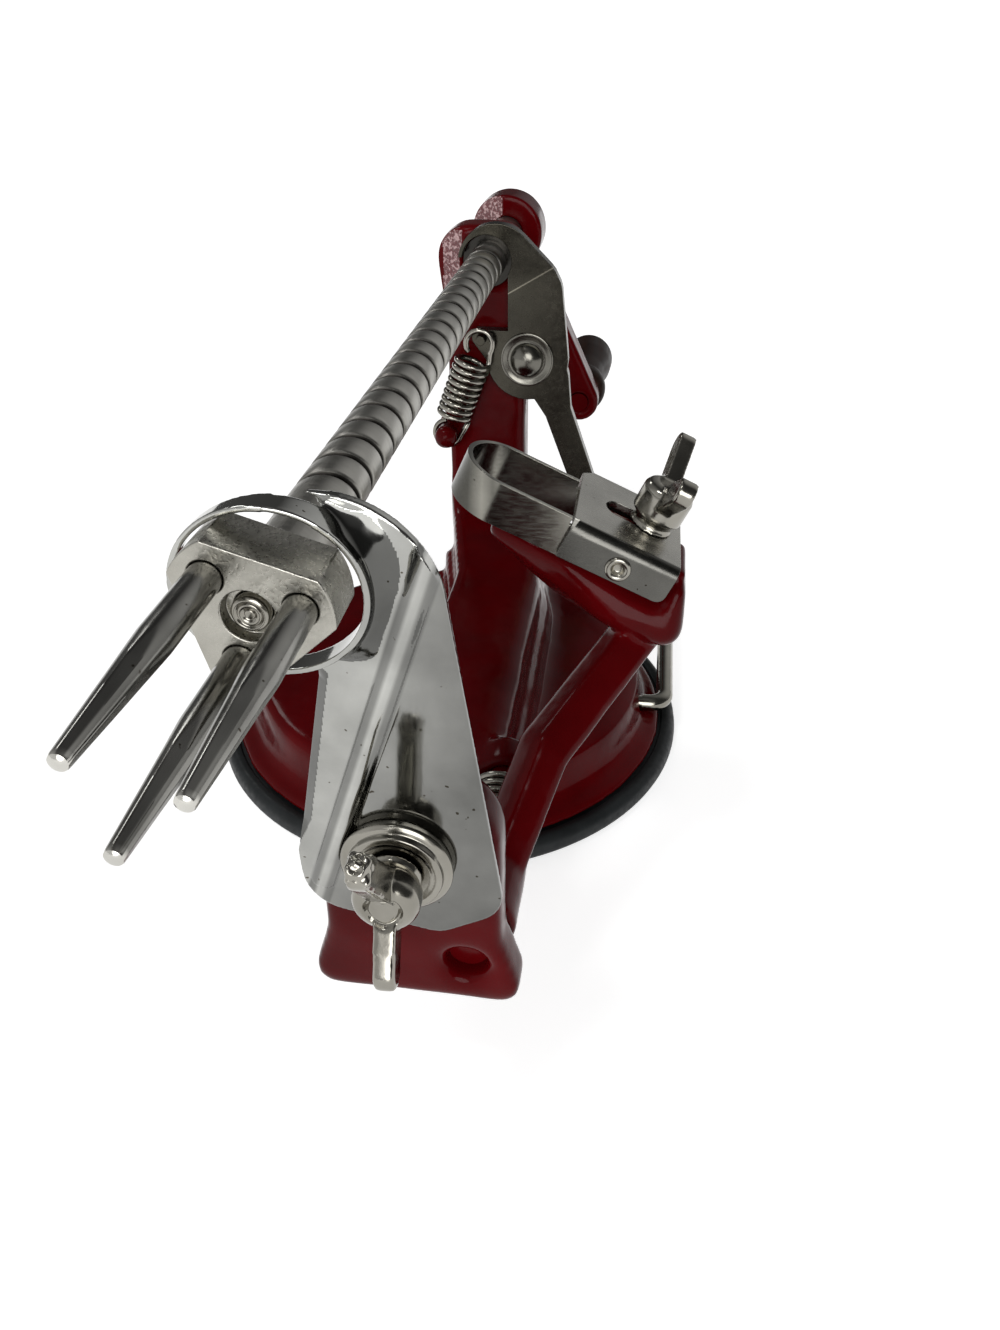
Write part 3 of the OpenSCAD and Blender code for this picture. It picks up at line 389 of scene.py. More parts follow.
# Dark bands on the rib's flanks are painted reflections, and the plate's right part has painted
# shade.
slicer_painted_shade_sheet = sheet_metal("slicer_painted_shade_sheet", (0.47, 0.47, 0.445), SLICER_GRAIN, 0.06, 0.13,
                           RIB_ASIDE, RIB_LINE - RIB_REACH, RIB_LINE + RIB_REACH,
                           ((0.0, 1.0), (0.3, 0.86), (0.435, 0.86), (0.448, 0.4), (0.474, 0.5),
                            (0.49, 1.0), (0.515, 0.9), (0.53, 0.48), (0.558, 0.4), (0.568, 0.58),
                            (1.0, 0.36)))
ground_sheet = sheet_metal("ground_sheet", (0.15, 0.15, 0.142), SLICER_GRAIN, 0.12, 0.2)
# A painted dark reflection for the hollow curve round the ring.
hollow_painted_reflection_sheet = sheet_metal("hollow_painted_reflection_sheet", (0.13, 0.13, 0.123), SLICER_GRAIN, 0.08, 0.16)
FOLD_UP, FOLD_LINE, FOLD_REACH = (-0.504, 0, 0.863), 68.1, 5
# The bright band along the latch's crease is a painted highlight; the rest is toned down.
latch_painted_highlight_sheet = sheet_metal("latch_painted_highlight_sheet", (0.3, 0.28, 0.225), EVEN_GRAIN, 0.2, 0.3,
                          FOLD_UP, FOLD_LINE - FOLD_REACH, FOLD_LINE + FOLD_REACH,
                          ((0.0, 0.22), (0.48, 0.22), (0.494, 0.9), (0.506, 0.9), (0.52, 0.22),
                           (1.0, 0.22)))
rivet_satin = sheet_metal("rivet_satin", (0.16, 0.154, 0.135), EVEN_GRAIN, 0.18, 0.28)
BLADE_LEFT, BLADE_RIGHT = 7.6, 42.5
# The blade's nose gets painted shade, and a painted highlight stripe runs across it.
blade_painted_light_sheet = sheet_metal("blade_painted_light_sheet", (0.34, 0.33, 0.29), BLADE_GRAIN, 0.17, 0.26,
                          (1, 0, 0), BLADE_LEFT, BLADE_RIGHT,
                          ((0.0, 0.22), (0.1, 0.28), (0.17, 0.9), (0.22, 0.5), (0.3, 0.95),
                           (1.0, 0.95)))
FOLD_BACK, FOLD_FRONT = 42.8, 45.0
# The fold and the front flange get painted shade, a dark reflection along the fold.
bracket_painted_shade_sheet = sheet_metal("bracket_painted_shade_sheet", (0.42, 0.41, 0.375), BLADE_GRAIN, 0.22, 0.32,
                            (0, -1, 0), FOLD_BACK, FOLD_FRONT,
                            ((0.0, 1.0), (0.15, 1.0), (0.3, 0.22), (0.85, 0.2), (1.0, 0.28)))
TIP_FROM, TIP_TO = 130.9, 131.6
prong_steel = sheet_metal("prong_steel", (0.56, 0.55, 0.51), (900, 300, 900), 0.14, 0.24,
                          (0, -1, 0), TIP_FROM, TIP_TO, ((0.0, 0.4), (1.0, 1.0)))

# %% [markdown]
# ### Turned steel screw
# The lands are satin and the groove is painted dark, as painted shade that deepens toward
# its bottom. The groove is found by its distance from the screw's axis, so the painted
# shade follows it.

# %% Screw steel
AXIS_H = 88
GROOVE_SHADE_R, LAND_R = 3.5, 3.97
screw_steel, tree, shader, place = finish("screw_steel", (0.5, 0.49, 0.46), 1.0, 0.3)
middle = node_of(tree, "ShaderNodeMapping")
middle.inputs["Location"].default_value = (0, 0, -AXIS_H * MM)
middle.inputs["Scale"].default_value = (1, 0, 1)
reach = node_of(tree, "ShaderNodeVectorMath", operation="LENGTH")
join(tree, (place, middle.inputs["Vector"]), (middle.outputs["Vector"], reach.inputs[0]))
# Painted shade in the groove, darkest at its bottom.
deep = spread(tree, reach.outputs["Value"], 0, 1, GROOVE_SHADE_R * MM, LAND_R * MM)
tint(tree, shader, deep, [(0.0, (0.012, 0.011, 0.01)), (0.45, (0.03, 0.028, 0.025)),
                          (0.9, (0.36, 0.35, 0.32))])
turning = noise_of(tree, place, 1, 3, (300, 3000, 300))
gloss(tree, shader, turning, 0.3, 0.44)
bumps(tree, shader, (turning, 0.15, 0.00005))

bush_bronze, tree, shader, place = finish("bush_bronze", (0.035, 0.033, 0.03), 1.0, 0.16)
bumps(tree, shader, (noise_of(tree, place, 500, 2), 0.25, 0.0002))

# %% [markdown]
# ### Rubber and the turned grip
# The cup is black rubber with a dull bloom. The grip is dark lacquered wood: long grain
# along the handle under a soft gloss.

# %% Rubber and grip
rubber, tree, shader, place = finish("black_rubber", (0.012, 0.014, 0.015), 0.0, 0.55,
                                     Specular_IOR_Level=0.3)
bloom = noise_of(tree, place, 150, 4)
tint(tree, shader, bloom, [(0.3, (0.004, 0.0055, 0.006)), (0.75, (0.015, 0.018, 0.019))])
gloss(tree, shader, noise_of(tree, place, 900), 0.42, 0.62)
bumps(tree, shader, (noise_of(tree, place, 1100, 2), 0.2, 0.0001))

grip_wood, tree, shader, place = finish("grip_lacquer", (0.03, 0.014, 0.01), 0.0, 0.35,
                                        Specular_IOR_Level=0.05)
fibre = noise_of(tree, place, 1, 4, (700, 60, 700))
tint(tree, shader, fibre, [(0.3, (0.011, 0.006, 0.0045)), (0.7, (0.026, 0.013, 0.0095))])
gloss(tree, shader, fibre, 0.3, 0.45)
bumps(tree, shader, (fibre, 0.15, 0.0001))
print("finishes:", len(bpy.data.materials))

# %% [markdown]
# ## Ways to make a piece
# Four helpers cover most of the peeler. `place_piece` turns a finished bmesh into an
# object that rides on its body. `reskin` wraps a new skin round a copy of a CAD solid with
# a voxel remesh and relaxes it, which rounds every edge as a mould does. `stamped_copy`
# keeps the flat faces of sheet metal and only rolls its sharp edges, with a bevel. `turned`
# spins a profile into a round piece, as a lathe does.

# %% Helpers for pieces
MERGE = 0.000002
BACK = (0, 1, 0)


def place_piece(name, bm, body, paint, nodes=(), crease=40):
    """Finish a bmesh as a smooth-shaded piece that rides on a body, if one is named."""
    mesh = bpy.data.meshes.new(name)
    bm.to_mesh(mesh)
    bm.free()
    mesh.polygons.foreach_set("use_smooth", [True] * len(mesh.polygons))
    mesh.set_sharp_from_angle(angle=radians(crease))
    mesh.materials.append(paint)
    made = bpy.data.objects.new(name, mesh)
    scene.collection.objects.link(made)
    if body:
        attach(made, body)
    if nodes:
        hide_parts(*nodes)
    print(name, len(mesh.polygons), "faces")
    return made


def node_copy(*nodes):
    """A bmesh with the solids of these CAD nodes, their corners merged."""
    bm = bmesh.new()
    for node in nodes:
        bm.from_mesh(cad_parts[node].data)
    bmesh.ops.remove_doubles(bm, verts=bm.verts, dist=MERGE)
    return bm


def relax(bm, rounds, only=lambda spot: True):
    """Move points toward the middle of their neighbours, where a place in mm allows it."""
    chosen = [v for v in bm.verts if only(v.co / MM)]
    for _ in range(rounds):
        bmesh.ops.smooth_vert(bm, verts=chosen, factor=0.5,
                              use_axis_x=True, use_axis_y=True, use_axis_z=True)


def baked(holder):
    """A bmesh of a helper object as its modifiers or bevel shape it; the helper goes."""
    ready = holder.evaluated_get(bpy.context.evaluated_depsgraph_get())
    mesh = bpy.data.meshes.new_from_object(ready)
    bpy.data.objects.remove(holder)
    bm = bmesh.new()
    bm.from_mesh(mesh)
    bpy.data.meshes.remove(mesh)
    return bm


def reskin(bm, voxel, rounds):
    """Wrap a new even skin round the solid and relax it."""
    raw = bpy.data.meshes.new("raw")
    bm.to_mesh(raw)
    bm.free()
    holder = bpy.data.objects.new("raw", raw)
    scene.collection.objects.link(holder)
    wrap = holder.modifiers.new("wrap", "REMESH")
    wrap.mode = "VOXEL"
    wrap.voxel_size = voxel * MM
    made = baked(holder)
    bpy.data.meshes.remove(raw)
    relax(made, rounds)
    return made


def round_edges(bm, edges, width, segments):
    """Bevel these edges to a round of a width in millimetres."""
    bmesh.ops.bevel(bm, geom=edges, offset=width * MM, offset_type="OFFSET", segments=segments,
                    profile=0.5, affect="EDGES", clamp_overlap=True, material=-1)


def roll_edges(bm, width, limit=35, segments=2):
    """Bevel each edge that turns sharper than the limit."""
    sharp = [e for e in bm.edges
             if len(e.link_faces) == 2 and e.calc_face_angle() > radians(limit)]
    round_edges(bm, sharp, width, segments)


def flat_copy(node):
    """A CAD copy with its flat faces made whole."""
    bm = node_copy(node)
    bmesh.ops.dissolve_limit(bm, angle_limit=radians(1), verts=bm.verts, edges=bm.edges,
                             delimit=set())
    return bm


def stamped_copy(node, width, limit=35, segments=2):
    """A flat copy with its sharp edges rolled."""
    bm = flat_copy(node)
    roll_edges(bm, width, limit, segments)
    return bm


def even_light(piece):
    """Let large flat faces set the shading, so rolled edges don't bend it."""
    weigh = piece.modifiers.new("even_light", "WEIGHTED_NORMAL")
    weigh.keep_sharp = True


def turned(profile, centre, axis, steps=64):
    """Spin (radius, distance along the axis) points, in millimetres, about an axis."""
    along = Vector(axis).normalized()
    side = along.orthogonal().normalized()
    start = Vector(centre)
    bm = bmesh.new()
    points = [bm.verts.new((start + side * r + along * d) * MM) for r, d in profile]
    edges = [bm.edges.new(pair) for pair in zip(points, points[1:])]
    bmesh.ops.spin(bm, geom=points + edges, cent=start * MM, axis=along, angle=2 * pi,
                   steps=steps, use_merge=True, dvec=(0, 0, 0), space=Matrix.Identity(4),
                   use_duplicate=False)
    bmesh.ops.remove_doubles(bm, verts=bm.verts, dist=MERGE)
    bmesh.ops.recalc_face_normals(bm, faces=bm.faces)
    return bm


def add_to(whole, part):
    """Copy one bmesh into another and free it."""
    mesh = bpy.data.meshes.new("part")
    part.to_mesh(mesh)
    part.free()
    whole.from_mesh(mesh)
    bpy.data.meshes.remove(mesh)


CORNER_SHARE = 0.45


def rounded(corners, radius, steps=4):
    """Round the inner corners of a profile with short arcs, so turned edges catch light."""
    points = [Vector(c) for c in corners]
    out = [points[0]]
    for before, here, after in zip(points, points[1:], points[2:]):
        r = min(radius, CORNER_SHARE * (before - here).length, CORNER_SHARE * (after - here).length)
        a = here + (before - here).normalized() * r
        b = here + (after - here).normalized() * r
        for k in range(steps + 1):
            t = k / steps
            out.append(a * (1 - t) ** 2 + here * 2 * t * (1 - t) + b * t ** 2)
    return [tuple(p) for p in out + [points[-1]]]


def roughen(bm, size, depth, only=lambda spot: True):
    """Push points in and out along their normals by a smooth noise, as a sand mould does."""
    bm.normal_update()
    moves = [(v, v.normal * noise.noise(v.co / (size * MM)) * depth * MM)
             for v in bm.verts if only(v.co / MM)]
    for v, step in moves:
        v.co += step


def wire(name, points, thickness, paint, nodes):
    """A round wire along points in mm, as a beveled curve made a mesh on no body yet."""
    data = bpy.data.curves.new(name, "CURVE")
    data.dimensions = "3D"
    data.bevel_depth = thickness / 2 * MM
    data.bevel_resolution = 4
    data.use_fill_caps = True
    data.resolution_u = 3
    line = data.splines.new("NURBS")
    line.points.add(len(points) - 1)
    for spot, p in zip(line.points, points):
        spot.co = (p[0] * MM, p[1] * MM, p[2] * MM, 1)
    line.order_u = 4
    line.use_endpoint_u = True
    holder = bpy.data.objects.new(name + "_line", data)
    scene.collection.objects.link(holder)
    bm = baked(holder)
    bmesh.ops.remove_doubles(bm, verts=bm.verts, dist=MERGE)
    bmesh.ops.recalc_face_normals(bm, faces=bm.faces)
    return place_piece(name, bm, None, paint, nodes)


# %% [markdown]
# ## Body casting
# One heavy casting: a low drum, a beam, a column and the front bracket. A real one has no
# sharp edge, because sand and thick paint round them all. A bevel would have to find its
# way through many crossing edges, so the copy is reskinned and relaxed instead, the beam's
# long right side more than the rest. The left part of the column's boss is ground back to
# a tilted, pitted face, and slow waves follow where the metal and the paint ran.

# %% Body casting
BEAM_X, BEAM_Y, BEAM_Z = 4, (-55, 50), (14, 34)
bm = reskin(node_copy("body_casting"), voxel=0.62, rounds=17)
relax(bm, rounds=36, only=lambda spot: (spot.x > BEAM_X and BEAM_Y[0] < spot.y < BEAM_Y[1]
                                        and BEAM_Z[0] < spot.z < BEAM_Z[1]))
COLUMN_Y = 51.5
BOSS_SIDE, BOSS_TILT = -5.4, Vector((-0.42, -0.9, 0)).normalized()
FRONT_DEPTH, FACING = 6, 0.96


def tilt_front(bm, edge, tilt, low):
    """Push the front face left of an edge and above low back to a tilted plane."""
    for v in bm.verts:
        spot = v.co / MM
        over = (spot - edge).dot(tilt)
        if spot.x < edge.x and spot.y < edge.y + FRONT_DEPTH and spot.z > low and over > 0:
            v.co.y -= over / tilt.y * MM


def repaint(piece, paint, chosen):
    """Give the faces that a place in millimetres and a normal choose another finish."""
    piece.data.materials.append(paint)
    for face in piece.data.polygons:
        if chosen(face.center / MM, face.normal):
            face.material_index = len(piece.data.materials) - 1


def ground_back(edge, tilt, left, low, slack=0.5):
    """Chooser for the tilted part of a front face, right of left and above low."""
    return lambda spot, out: (left < spot.x < edge.x and spot.z > low and out.dot(tilt) > FACING
                              and abs((spot - edge).dot(tilt)) < slack)


boss_edge = Vector((BOSS_SIDE, COLUMN_Y, AXIS_H))
tilt_front(bm, boss_edge, BOSS_TILT, low=70)
roughen(bm, size=9, depth=0.16)
cast_body = place_piece("cast_body", bm, "frame_body", enamel, ["body_casting"],
                        crease=60)
BOSS_LEFT = -10.8
repaint(cast_body, pitted_painted_glint_enamel, ground_back(boss_edge, BOSS_TILT, BOSS_LEFT, low=74))

# %% [markdown]
# ## Peeling arm and crank
# Two smaller castings in the same enamel, made the same way with a finer skin. The crank's
# hub has a tilted, pitted front like the column's boss.

# %% Arm and crank
bm = reskin(node_copy("peeling_arm"), voxel=0.34, rounds=28)
roughen(bm, size=7, depth=0.1)
place_piece("cast_arm", bm, "arm", enamel, ["peeling_arm"], crease=60)

bm = reskin(node_copy("crank_arm"), voxel=0.4, rounds=12)
HUB_SIDE, HUB_Y, HUB_LOW = -0.8, 81.0, 70
hub_edge = Vector((HUB_SIDE, HUB_Y, AXIS_H))
tilt_front(bm, hub_edge, BOSS_TILT, HUB_LOW)
roughen(bm, size=7, depth=0.1)
cast_crank = place_piece("cast_crank", bm, "screw", enamel, ["crank_arm"])
HUB_LEFT = -12.0
repaint(cast_crank, pitted_painted_glint_enamel, ground_back(hub_edge, BOSS_TILT, HUB_LEFT, HUB_LOW))

# %% [markdown]
# ## Slicer and coring ring
# One stamped plate whose top is drawn out into a ring. Between ring and plate runs a
# hollow curve, so a fillet is swept round the ring first, as wide as the plate allows. Its
# section changes on the way, which a spin can't do, so the sections are placed one by one
# and bridged. The two CAD solids and the fillet are wrapped in one thin skin. The ring's
# front is cut at a slant, lowest at the bottom, by squeezing the skin there. Then the
# skin's front is pushed back along the left edge, which grinds it to a cutting bevel. The
# bevel is darker than the rolled sheet and the hollow curve carries a painted dark
# reflection, so their faces get finishes of their own.

# %% Slicer
PLATE_Y, PLATE_THICK = -94.8, 1.3
RING_X, RING_Z, RING_OUT = 0.4, 87.7, 10.4
DISC_X, DISC_Z, DISC_R = 4.4, -3.4, 13.3
DISH_H, DISH_W, DISH_LEAST, DISH_FULL = 4.2, 4.4, 0.25, 2.8
DISH_STOPS = (0, 0.25, 0.5, 0.75, 1.0, 1.25, 1.57)
SUNK_IN, SUNK_BACK, RIM_LEFT = 0.4, 0.6, 0.1
SWEEP_FROM, SWEEP_STEP, SWEEP_STEPS, SWEEP_FADE = -70, 4, 34, 7
bm = node_copy("slicer_plate", "coring_ring")
sections = []
for step in range(SWEEP_STEPS):
    angle = radians(SWEEP_FROM + SWEEP_STEP * step)
    out = Vector((cos(angle), 0, sin(angle)))
    middle_along = DISC_X * out.x + DISC_Z * out.z
    reach_out = middle_along + (middle_along ** 2 + DISC_R ** 2 - DISC_X ** 2 - DISC_Z ** 2) ** 0.5
    fade = min(1, (step + 0.5) / SWEEP_FADE, (SWEEP_STEPS - 0.5 - step) / SWEEP_FADE)
    wide = max(DISH_LEAST, min(DISH_W, reach_out - RING_OUT - RIM_LEFT) * fade)
    tall = DISH_H * fade * min(1, wide / DISH_FULL)
    profile = [(RING_OUT - SUNK_IN, SUNK_BACK), (RING_OUT - SUNK_IN, -tall)]
    profile += [(RING_OUT + wide * (1 - cos(a)), -tall * (1 - sin(a))) for a in DISH_STOPS]
    profile += [(RING_OUT + wide, SUNK_BACK)]
    root = Vector((RING_X, PLATE_Y, RING_Z))
    points = [bm.verts.new((root + out * r + Vector((0, d, 0))) * MM) for r, d in profile]
    sections.append([bm.edges.new(pair) for pair in zip(points, points[1:] + points[:1])])
for a, b in zip(sections, sections[1:]):
    bmesh.ops.bridge_loops(bm, edges=a + b)
for end in (sections[0], sections[-1]):
    bmesh.ops.contextual_create(bm, geom=end)
bmesh.ops.recalc_face_normals(bm, faces=bm.faces)
bm = reskin(bm, voxel=0.19, rounds=3)
RING_ROOT, RING_FRONT, RING_MIDDLE = -95.5, -100.2, -98.9
SLANT_X, SLANT_Z, SLANT_FADE = 0.1, -0.08, 6.0
EDGE_LOW_X, EDGE_LOW_Z, EDGE_BAND = -2.4, 47.5, 5.5
NEAR = 0.1


def press(value, limit, left_over=0.06):
    """Bring a number that is under a limit nearly up to it, so that points stay apart."""
    return limit + left_over * (value - limit) if value < limit else value


for v in bm.verts:
    spot = v.co / MM
    out = Vector((spot.x - RING_X, spot.z - RING_Z))
    share = max(0, min(1, (RING_OUT + DISH_W + SLANT_FADE - out.length) / SLANT_FADE))
    if spot.y < RING_ROOT:
        front = max(RING_FRONT, RING_MIDDLE + SLANT_X * out.x + SLANT_Z * out.y)
        squeeze = 1 - share * (1 - (front - RING_ROOT) / (RING_FRONT - RING_ROOT))
        v.co.y = (RING_ROOT + (spot.y - RING_ROOT) * squeeze) * MM
    if EDGE_LOW_Z - EDGE_BAND < spot.z < EDGE_LOW_Z + NEAR:
        v.co.x = press(spot.x, EDGE_LOW_X) * MM


DISH_RIM = 0.8


def on_dish(spot, rim=0.5):
    """The way out from the ring's axis at a place on the hollow curve, or nothing off it."""
    out = Vector((spot.x - RING_X, spot.z - RING_Z))
    within = (out - Vector((DISC_X, DISC_Z))).length < DISC_R - rim
    round_ring = RING_OUT < out.length < RING_OUT + DISH_W + DISH_RIM
    return out if within and round_ring and spot.y < PLATE_Y + NEAR else None


relax(bm, rounds=26, only=lambda spot: on_dish(spot) is not None)
MEETING, MEETING_R = Vector((3.8, 97.5)), 2.6
relax(bm, rounds=14, only=lambda spot: (Vector((spot.x, spot.z)) - MEETING).length < MEETING_R)
edge_top = Vector((3.4, PLATE_Y, 77.3))
edge_low = Vector((EDGE_LOW_X, PLATE_Y, EDGE_LOW_Z))
run = (edge_low - edge_top).normalized()
inward = Vector((-run.z, 0, run.x))
BEVEL_W, BEVEL_OVER, EDGE_LEFT = 1.2, 0.6, 0.25
BEVEL_FROM, BEVEL_TO, BEVEL_RISE, BEVEL_FALL = 0.8, 29.5, 2, 4


def on_bevel(spot):
    """How far along and across the cutting edge a place is, or nothing away from it."""
    along, across = (spot - edge_top).dot(run), (spot - edge_top).dot(inward)
    near_edge = BEVEL_FROM < along < BEVEL_TO and -BEVEL_OVER < across < BEVEL_W
    return (along, across) if near_edge else None


for v in bm.verts:
    edge_spot = on_bevel(v.co / MM)
    if edge_spot:
        along, across = edge_spot
        ground = min(1, (along - BEVEL_FROM) / BEVEL_RISE, (BEVEL_TO - along) / BEVEL_FALL)
        deepest = PLATE_Y + (PLATE_THICK - EDGE_LEFT) * ground * (1 - max(0, across) / BEVEL_W)
        v.co.y = press(v.co.y / MM, deepest) * MM
slicer_blade = place_piece("slicer_blade", bm, "frame_body", slicer_painted_shade_sheet,
                           ["slicer_plate", "coring_ring"], crease=50)


def ground_face(spot, normal):
    """Faces of the cutting bevel, narrower toward its lower end."""
    edge_spot = on_bevel(spot)
    slanted = -0.97 < normal.y < -0.2
    return edge_spot and slanted and edge_spot[1] < (BEVEL_TO - edge_spot[0]) / BEVEL_FALL


def painted_reflection_face(spot, normal):
    """Faces of the hollow curve that lean away from the ring, which get a painted dark reflection.
    """
    out = on_dish(spot)
    return out and normal.dot(Vector((out.x, 0, out.y)).normalized()) > 0.2 and normal.y > -0.95


repaint(slicer_blade, ground_sheet, ground_face)
repaint(slicer_blade, hollow_painted_reflection_sheet, painted_reflection_face)

# %% [markdown]
# ## Feed screw
# The groove winds round the screw like a thread. One pitch of the profile, a land and half
# a groove on each side, is spun with a step along the axis, so each turn meets the next.
# Two turns more than needed are spun, so that the square cuts at the ends go through
# whole turns and leave closed rims. The groove is faded out near them.

# %% Feed screw
SHAFT_R, PITCH = 4.0, 6.0
GROOVE_W, GROOVE_DEEP, GROOVE_FLAT = 1.4, 0.75, 0.62
GROOVE_FROM, GROOVE_TURNS, END_LEFT = -81.6, 22, 1
STEPS, SPARE_TURNS, TURN_MERGE = 48, 2, 0.00001
bm = bmesh.new()
half = GROOVE_W / 2
bottom = SHAFT_R - GROOVE_DEEP
profile = rounded([(bottom, 0), (bottom, half * GROOVE_FLAT), (SHAFT_R, half),
                   (SHAFT_R, PITCH / 2), (SHAFT_R, PITCH - half),
                   (bottom, PITCH - half * GROOVE_FLAT), (bottom, PITCH)], radius=0.28, steps=2)
spun_turns = GROOVE_TURNS + SPARE_TURNS
points = [bm.verts.new(Vector((r, GROOVE_FROM - SPARE_TURNS * PITCH + d, AXIS_H)) * MM)
          for r, d in profile]
edges = [bm.edges.new(pair) for pair in zip(points, points[1:])]
bmesh.ops.spin(bm, geom=points + edges, cent=Vector((0, 0, AXIS_H)) * MM, axis=BACK,
               dvec=Vector((0, PITCH / STEPS, 0)) * MM, angle=2 * pi * spun_turns,
               steps=STEPS * spun_turns, use_merge=False, space=Matrix.Identity(4),
               use_duplicate=False)
bmesh.ops.remove_doubles(bm, verts=bm.verts, dist=TURN_MERGE)
screw_ends = (GROOVE_FROM - END_LEFT, GROOVE_FROM + PITCH * GROOVE_TURNS - END_LEFT)
for y, way in zip(screw_ends, (-1, 1)):
    bmesh.ops.bisect_plane(bm, geom=bm.verts[:] + bm.edges[:] + bm.faces[:],
                           plane_co=Vector((0, y, AXIS_H)) * MM, plane_no=(0, way, 0),
                           clear_outer=True)
FADE = 3.0
for v in bm.verts:
    y = v.co.y / MM
    out = Vector((v.co.x, 0, v.co.z - AXIS_H * MM))
    fade = max(0, min(1, (y - screw_ends[0]) / FADE, (screw_ends[1] - y) / FADE))
    depth = SHAFT_R * MM - out.length
    v.co += out.normalized() * depth * (1 - fade)
PLAIN_FRONT, PLAIN_BACK = -96.7, 97.1
for y, far in zip(screw_ends, (PLAIN_FRONT, PLAIN_BACK)):
    rim = [e for e in bm.edges if e.is_boundary and abs(e.verts[0].co.y - y * MM) < 1e-6]
    grown = bmesh.ops.extrude_edge_only(bm, edges=rim)["geom"]
    tips = [v for v in grown if isinstance(v, bmesh.types.BMVert)]
    bmesh.ops.translate(bm, verts=tips, vec=(0, (far - y) * MM, 0))
    loose = [e for e in grown if isinstance(e, bmesh.types.BMEdge) and e.is_boundary]
    bmesh.ops.contextual_create(bm, geom=loose)
bmesh.ops.recalc_face_normals(bm, faces=bm.faces)
screw = place_piece("threaded_screw", bm, "screw", screw_steel, crease=50)

# %% [markdown]
# The screw's front end is turned down, goes through the fork head and is peened over in
# its counterbore. The rings that the punch left are turned as a small profile.

# %% Peened end
HEAD_FRONT = -103.6
peen = rounded([(0, 0.35), (0.5, 0.35), (0.6, 0.55), (0.85, 0.3), (1.2, 0.25), (1.35, 0.5),
                (1.6, 0.2), (2.0, 0.45), (2.0, 6.95), (0, 6.95)], radius=0.12, steps=2)
bm = turned(peen, (0, HEAD_FRONT, AXIS_H), BACK, steps=48)
place_piece("peened_end", bm, "screw", bright_nickel, ["feed_screw"], crease=60)
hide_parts("feed_screw")

# %% [markdown]
# ## Fork head and prongs
# The head is a plated casting with crisp but not sharp edges, so its CAD copy is beveled.
# Each prong is a turned bar whose outer part tapers to a blunt tip and is rubbed slightly
# flat on four sides. The bar is spun with many rings, and each point outside one of four
# tilted planes is moved onto it, which leaves clean flats and a line where they start.

# %% Fork
bm = stamped_copy("fork_head", width=0.4, segments=3)
even_light(place_piece("cast_head", bm, "screw", cast_nickel, ["fork_head"], crease=60))

FORK_TURN, PRONG_CIRCLE, PRONG_LEN, PRONG_R, PRONG_SUNK = 77, 5.6, 28.4, 1.8, 4.5
TIP_R, TIP_LEN = 0.95, 0.5
GROUND_FROM, FLAT_TURN, FLAT_SHARE, FLAT_RISE, RINGS = 0.4 * PRONG_LEN, 20, 0.9, 4, 30
taper = PRONG_LEN - TIP_LEN - GROUND_FROM
forks = bmesh.new()
for i in range(3):
    angle = radians(120 * i + FORK_TURN)
    root = Vector((PRONG_CIRCLE * sin(angle), HEAD_FRONT, AXIS_H + PRONG_CIRCLE * cos(angle)))
    bar = [(0, PRONG_SUNK), (PRONG_R, PRONG_SUNK), (PRONG_R, -GROUND_FROM)]
    bar += [(PRONG_R - (PRONG_R - TIP_R) * k / RINGS, -GROUND_FROM - taper * k / RINGS)
            for k in range(1, RINGS + 1)]
    bar += [(TIP_R * cos(radians(a)), -PRONG_LEN + TIP_LEN - TIP_LEN * sin(radians(a)))
            for a in (25, 50, 70, 90)]
    prong = turned(bar, root, BACK)
    for v in prong.verts:
        spot = v.co / MM - root
        ground = max(0, -spot.y - GROUND_FROM) / (PRONG_LEN - GROUND_FROM)
        worn = 1 - (1 - FLAT_SHARE) * min(1, FLAT_RISE * ground)
        limit = (PRONG_R - (PRONG_R - TIP_R) * ground) * worn
        for k in range(4):
            spin_to = radians(90 * k + FLAT_TURN)
            out = Vector((sin(spin_to), 0, cos(spin_to)))
            over = spot.dot(out) - limit
            if over > 0:
                spot -= out * over
        v.co = (root + spot) * MM
    add_to(forks, prong)
place_piece("ground_prongs", forks, "screw", prong_steel, ["fork_prongs"], crease=24)

# %% [markdown]
# ## Latch
# A thick stamped plate with a hook over the screw. Its rim is rolled over by the press on
# the front. A cut across the plate gives it a crease, and what is above the crease leans
# forward. The rivet is a turned dome in a ring.

# %% Latch
bm = stamped_copy("latch_plate", width=0.35)
CREASE_FROM, CREASE_TO = Vector((6.6, 0, 82.8)), Vector((15.5, 0, 88))
crease_up = Vector(BACK).cross(CREASE_FROM - CREASE_TO).normalized()
bmesh.ops.bisect_plane(bm, geom=bm.verts[:] + bm.edges[:] + bm.faces[:],
                       plane_co=CREASE_FROM * MM, plane_no=crease_up)
HOOK_LEAN = 0.1
for v in bm.verts:
    v.co.y -= HOOK_LEAN * max(0, (v.co - CREASE_FROM * MM).dot(crease_up))
even_light(place_piece("stamped_latch", bm, "latch", latch_painted_highlight_sheet, ["latch_plate"],
                       crease=60))

LATCH_X, LATCH_Z, LATCH_FRONT, RIVET_PROUD = 9.6, 67.2, 48.2, 0.1
DOME_R, DOME_SEAT, DOME_H = 3.9, 0.45, 2.8
dome = [(DOME_R * sin(radians(a)), -DOME_SEAT - DOME_H * cos(radians(a))) for a in range(0, 91, 9)]
ring = [(3.95, -0.2), (4.3, -0.14), (4.9, -0.22), (5.5, -0.5), (5.9, -0.62), (6.12, -0.5),
        (6.2, 0.05), (2.4, 0.1), (2.4, 8)]
bm = turned(dome + ring + [(0, 8)], (LATCH_X, LATCH_FRONT - RIVET_PROUD, LATCH_Z), BACK, steps=56)
place_piece("domed_rivet", bm, "frame_body", rivet_satin, ["latch_rivet"], crease=50)

